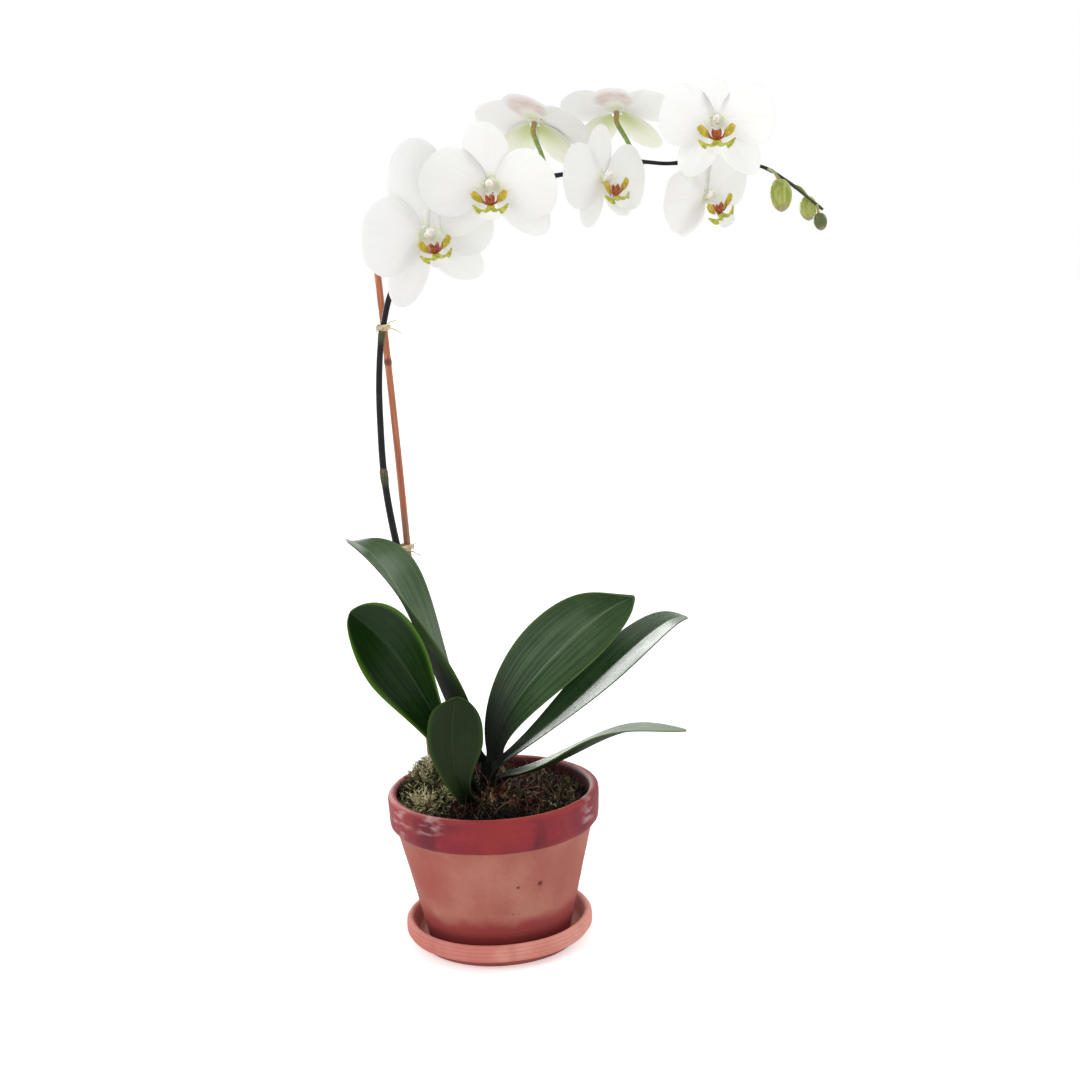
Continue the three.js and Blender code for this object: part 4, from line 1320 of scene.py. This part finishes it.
def wing_colour(tree):
    stripes = band(tree, cloud(tree, place_of(tree, (3, 16, 1), "UV"), 1.0, 1), 0.46, 0.56)
    base = blend(tree, stripes, paint(0xE8C8B8), paint(0xA04A3C))
    spots = band(tree, cloud(tree, place_of(tree), 420), 0.35, 0.7)
    tip = blend(tree, spots, paint(0xB0A01C), paint(0xD4BE34))
    return blend(tree, band(tree, sheet_of(tree)["X"], 0.28, 0.42), base, tip)


def neck_colour(tree):
    sheet = sheet_of(tree)
    stripes = band(tree, cloud(tree, place_of(tree, (4, 18, 1), "UV"), 1.0, 1), 0.46, 0.56)
    neck = blend(tree, stripes, paint(0xDE9E52), paint(0xA83A2C))
    neck = blend(tree, band(tree, sheet["X"], 0.34, 0.46), neck, paint(0xC8C850))
    return blend(tree, band(tree, sheet["X"], 0.56, 0.66), neck, paint(0xF1F0EA))


def fluke_colour(tree):
    spots = band(tree, cloud(tree, place_of(tree), 420), 0.35, 0.7)
    green = blend(tree, spots, paint(0x9EA428), paint(0xCCCB50))
    return blend(tree, band(tree, from_midrib(tree), 0.75, 1.0, 0, 0.5), green, paint(0xE6E49A))


def callus_colour(tree):
    spots = band(tree, cloud(tree, place_of(tree), 700), 0.35, 0.7)
    return blend(tree, spots, paint(0x7A1C0A), paint(0xBE6420))


fleshy = {"Subsurface_Weight": 0.2, "Subsurface_Scale": 0.002}
wing_skin = finish("side_lobe", wing_colour, 0.4, petal_height, 0.0002, **fleshy)
neck_skin = finish("lip_neck", neck_colour, 0.4, petal_height, 0.0002, **fleshy)
fluke_skin = finish("lip_fluke", fluke_colour, 0.4, petal_height, 0.0002, **fleshy)
callus_skin = finish("callus", callus_colour, 0.3, skin_height, 0.0002)

parts = [lobe("lip_model", NECK, NECK_HALVES, 0, 0.25, neck_skin)]
horns = []
for hand in (-1, 1):
    parts.append(lobe("wing_model", WING, WING_HALVES, hand, 0.3, wing_skin))
    parts.append(lobe("fluke_model", FLUKE, FLUKE_HALVES, hand, -0.2, fluke_skin))
    horns.append(list(zip(lip_path(RIDGE, hand, 12), np.interp(np.linspace(0, 1, 13), *RIDGE_GIRTHS))))
    horns.append(list(zip(lip_path(WHISKER, hand, 9), np.linspace(0.0006, 0.0002, 10))))
parts.append(tube("callus_model", horns, 12))
parts[-1].data.materials.append(callus_skin)
alone(parts[0])
for part in parts:
    part.select_set(True)
bpy.ops.object.join()
lip_model = parts[0]
for number, (middle, look, lean, size, *rest) in enumerate(FLOWERS, 1):
    lip = copied(lip_model, f"bloom_{number}_lip", flower_frame(middle, look, lean))
    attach(lip, "root")
    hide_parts(f"flower_{number}_lip")
discard([lip_model])

# ---------------------------------------------------------------- buds
# Three unopened buds hang from the end of the spike by short necks. Each is three sepals folded shut, with a
# seam where they meet, pale green and flushed purple at the tip.

BUD_OUTLINE = (  # shares of its length and of its radius, from the tip up
    (0.00, 0.02), (0.05, 0.38), (0.14, 0.64), (0.30, 0.88), (0.48, 0.99),
    (0.62, 1.0), (0.78, 0.90), (0.90, 0.66), (0.97, 0.40), (1.00, 0.10),
)


def bud_colour(tree):
    along = node(tree, "ShaderNodeAttribute", attribute_name="tone").outputs["Fac"]
    height = axes(tree, place_of(tree))
    veins = band(tree, cloud(tree, place_of(tree, (420, 420, 40)), 1.0, 3), 0.4, 0.7)
    green = blend(tree, veins, paint(0x93A040), paint(0xB8BE66))
    # darker green on the third bud, the smallest, at the end of the spike
    third_bud_darker = band(tree, height["Y"], 0.004, 0.000, 0, 0.85)
    third_bud_darker = sums(tree, "MULTIPLY", third_bud_darker, band(tree, height["X"], 0.231, 0.234))
    green = blend(tree, third_bud_darker, green, paint(0x3E4C26))
    return blend(tree, band(tree, along, 0.30, 0.02, 0, 0.7), green, paint(0xA08478))


bud_model = ball(48, 28)
for vertex in bud_model.data.vertices:
    share = math.acos(max(-1, min(1, -vertex.co.z))) / math.pi
    turn = math.atan2(vertex.co.y, vertex.co.x)
    seam = abs(((turn / (2 * math.pi) * 3) % 1) - 0.5) * 2
    girth = np.interp(share, *zip(*BUD_OUTLINE)) * (1 - 0.10 * math.exp(-(((1 - seam) / 0.10) ** 2)))
    girth *= 1 + 0.05 * math.cos(3 * turn)
    vertex.co = (girth * math.cos(turn), girth * math.sin(turn), share)
bud_model.data.shade_smooth()
bud_skin = finish(
    "bud_skin", bud_colour, 0.38, skin_height, 0.0001, Subsurface_Weight=0.15, Subsurface_Scale=0.002
)
tones = [vertex.co.z for vertex in bud_model.data.vertices]
for number, (low, high, radius, _) in enumerate(BUDS, 1):
    low, high = Vector(low), Vector(high)
    axis = high - low
    stand = axis.to_track_quat("Z", "Y").to_matrix().to_4x4()
    shape = Matrix.Diagonal((radius * 0.94, radius * 0.94, axis.length, 1))
    bud = copied(bud_model, f"bud_{number}_closed", Matrix.Translation(low) @ stand @ shape)
    bud.data.attributes.new("tone", "FLOAT", "POINT").data.foreach_set("value", tones)
    bud.data.materials.append(bud_skin)
    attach(bud, "root")
    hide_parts(f"bud_{number}")
    root = spike_spot(stalk_shares[len(FLOWERS) + number - 1])
    bend = root.lerp(high, 0.5) + axis.normalized() * 0.002
    path = smooth_path((root, bend, high - axis.normalized() * 0.0008), 16)
    girths = [0.0009 + 0.0005 * (i / 16) ** 3 for i in range(17)]
    neck = tube(f"bud_neck_{number}", [list(zip(path, girths))], 10)
    neck.data.materials.append(stalk_skin)
    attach(neck, "root")
discard([bud_model])

# ---------------------------------------------------------------- ties
# Cream raffia, wound five times round the spike and the cane together and knotted at the front, with three
# ends left loose.

TIE_HEIGHTS = {"upper_tie": 0.443, "lower_tie": 0.286}
RAFFIA = 0.00055  # radius
TURNS = 5


def raffia_colour(tree):
    strands = band(tree, cloud(tree, place_of(tree, (300, 300, 1200)), 1.0, 3), 0.35, 0.7)
    return blend(tree, strands, paint(0xB8A378), paint(0xE6DABA))


raffia = finish("raffia", raffia_colour, 0.75, skin_height, 0.0003)
for name, height in TIE_HEIGHTS.items():
    cane_spot = on_stake((height - STAKE_FOOT.z) / (STAKE_TOP.z - STAKE_FOOT.z))
    stem_spot = spike_spot(spike_share(lambda spot: spot.z >= height))
    apart = cane_spot - stem_spot
    apart.z = 0
    facing = math.atan2(apart.y, apart.x)
    around = STAKE_RADIUS + 0.0012 + RAFFIA
    winding = []
    for i in range(TURNS * 24 + 1):
        turn = 2 * math.pi * i / 24
        centre = cane_spot if math.cos(turn - facing) > 0 else stem_spot
        rise = (i / (TURNS * 24) - 0.5) * 0.0030 + 0.0004 * math.sin(turn * 2 + i / 30)
        x, y = centre.x + around * math.cos(turn), centre.y + around * math.sin(turn)
        winding.append((Vector((x, y, height + rise)), RAFFIA))
    front = stem_spot.lerp(cane_spot, 0.6)
    knot_at = Vector((front.x + 0.001, min(stem_spot.y, cane_spot.y) - around - 0.0004, height))
    ends = []
    for reach in ((0.009, -0.003, 0.005), (0.012, -0.005, -0.004), (-0.006, -0.003, -0.003)):
        reach = Vector(reach)
        middle = knot_at + reach * 0.5 + Vector((0, -0.002, 0.0015))
        path = smooth_path((knot_at, middle, knot_at + reach), 10)
        ends.append([(spot, 0.0006 - 0.0003 * i / 10) for i, spot in enumerate(path)])
    loop = [
        (knot_at + Vector((0.0012 * math.cos(turn), -0.0006, 0.0014 * math.sin(turn))), 0.0008)
        for turn in np.linspace(0, 6, 12)
    ]
    tie = tube(f"raffia_{name}", [winding, loop, *ends], 8)
    tie.data.materials.append(raffia)
    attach(tie, "root")
    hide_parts(name)
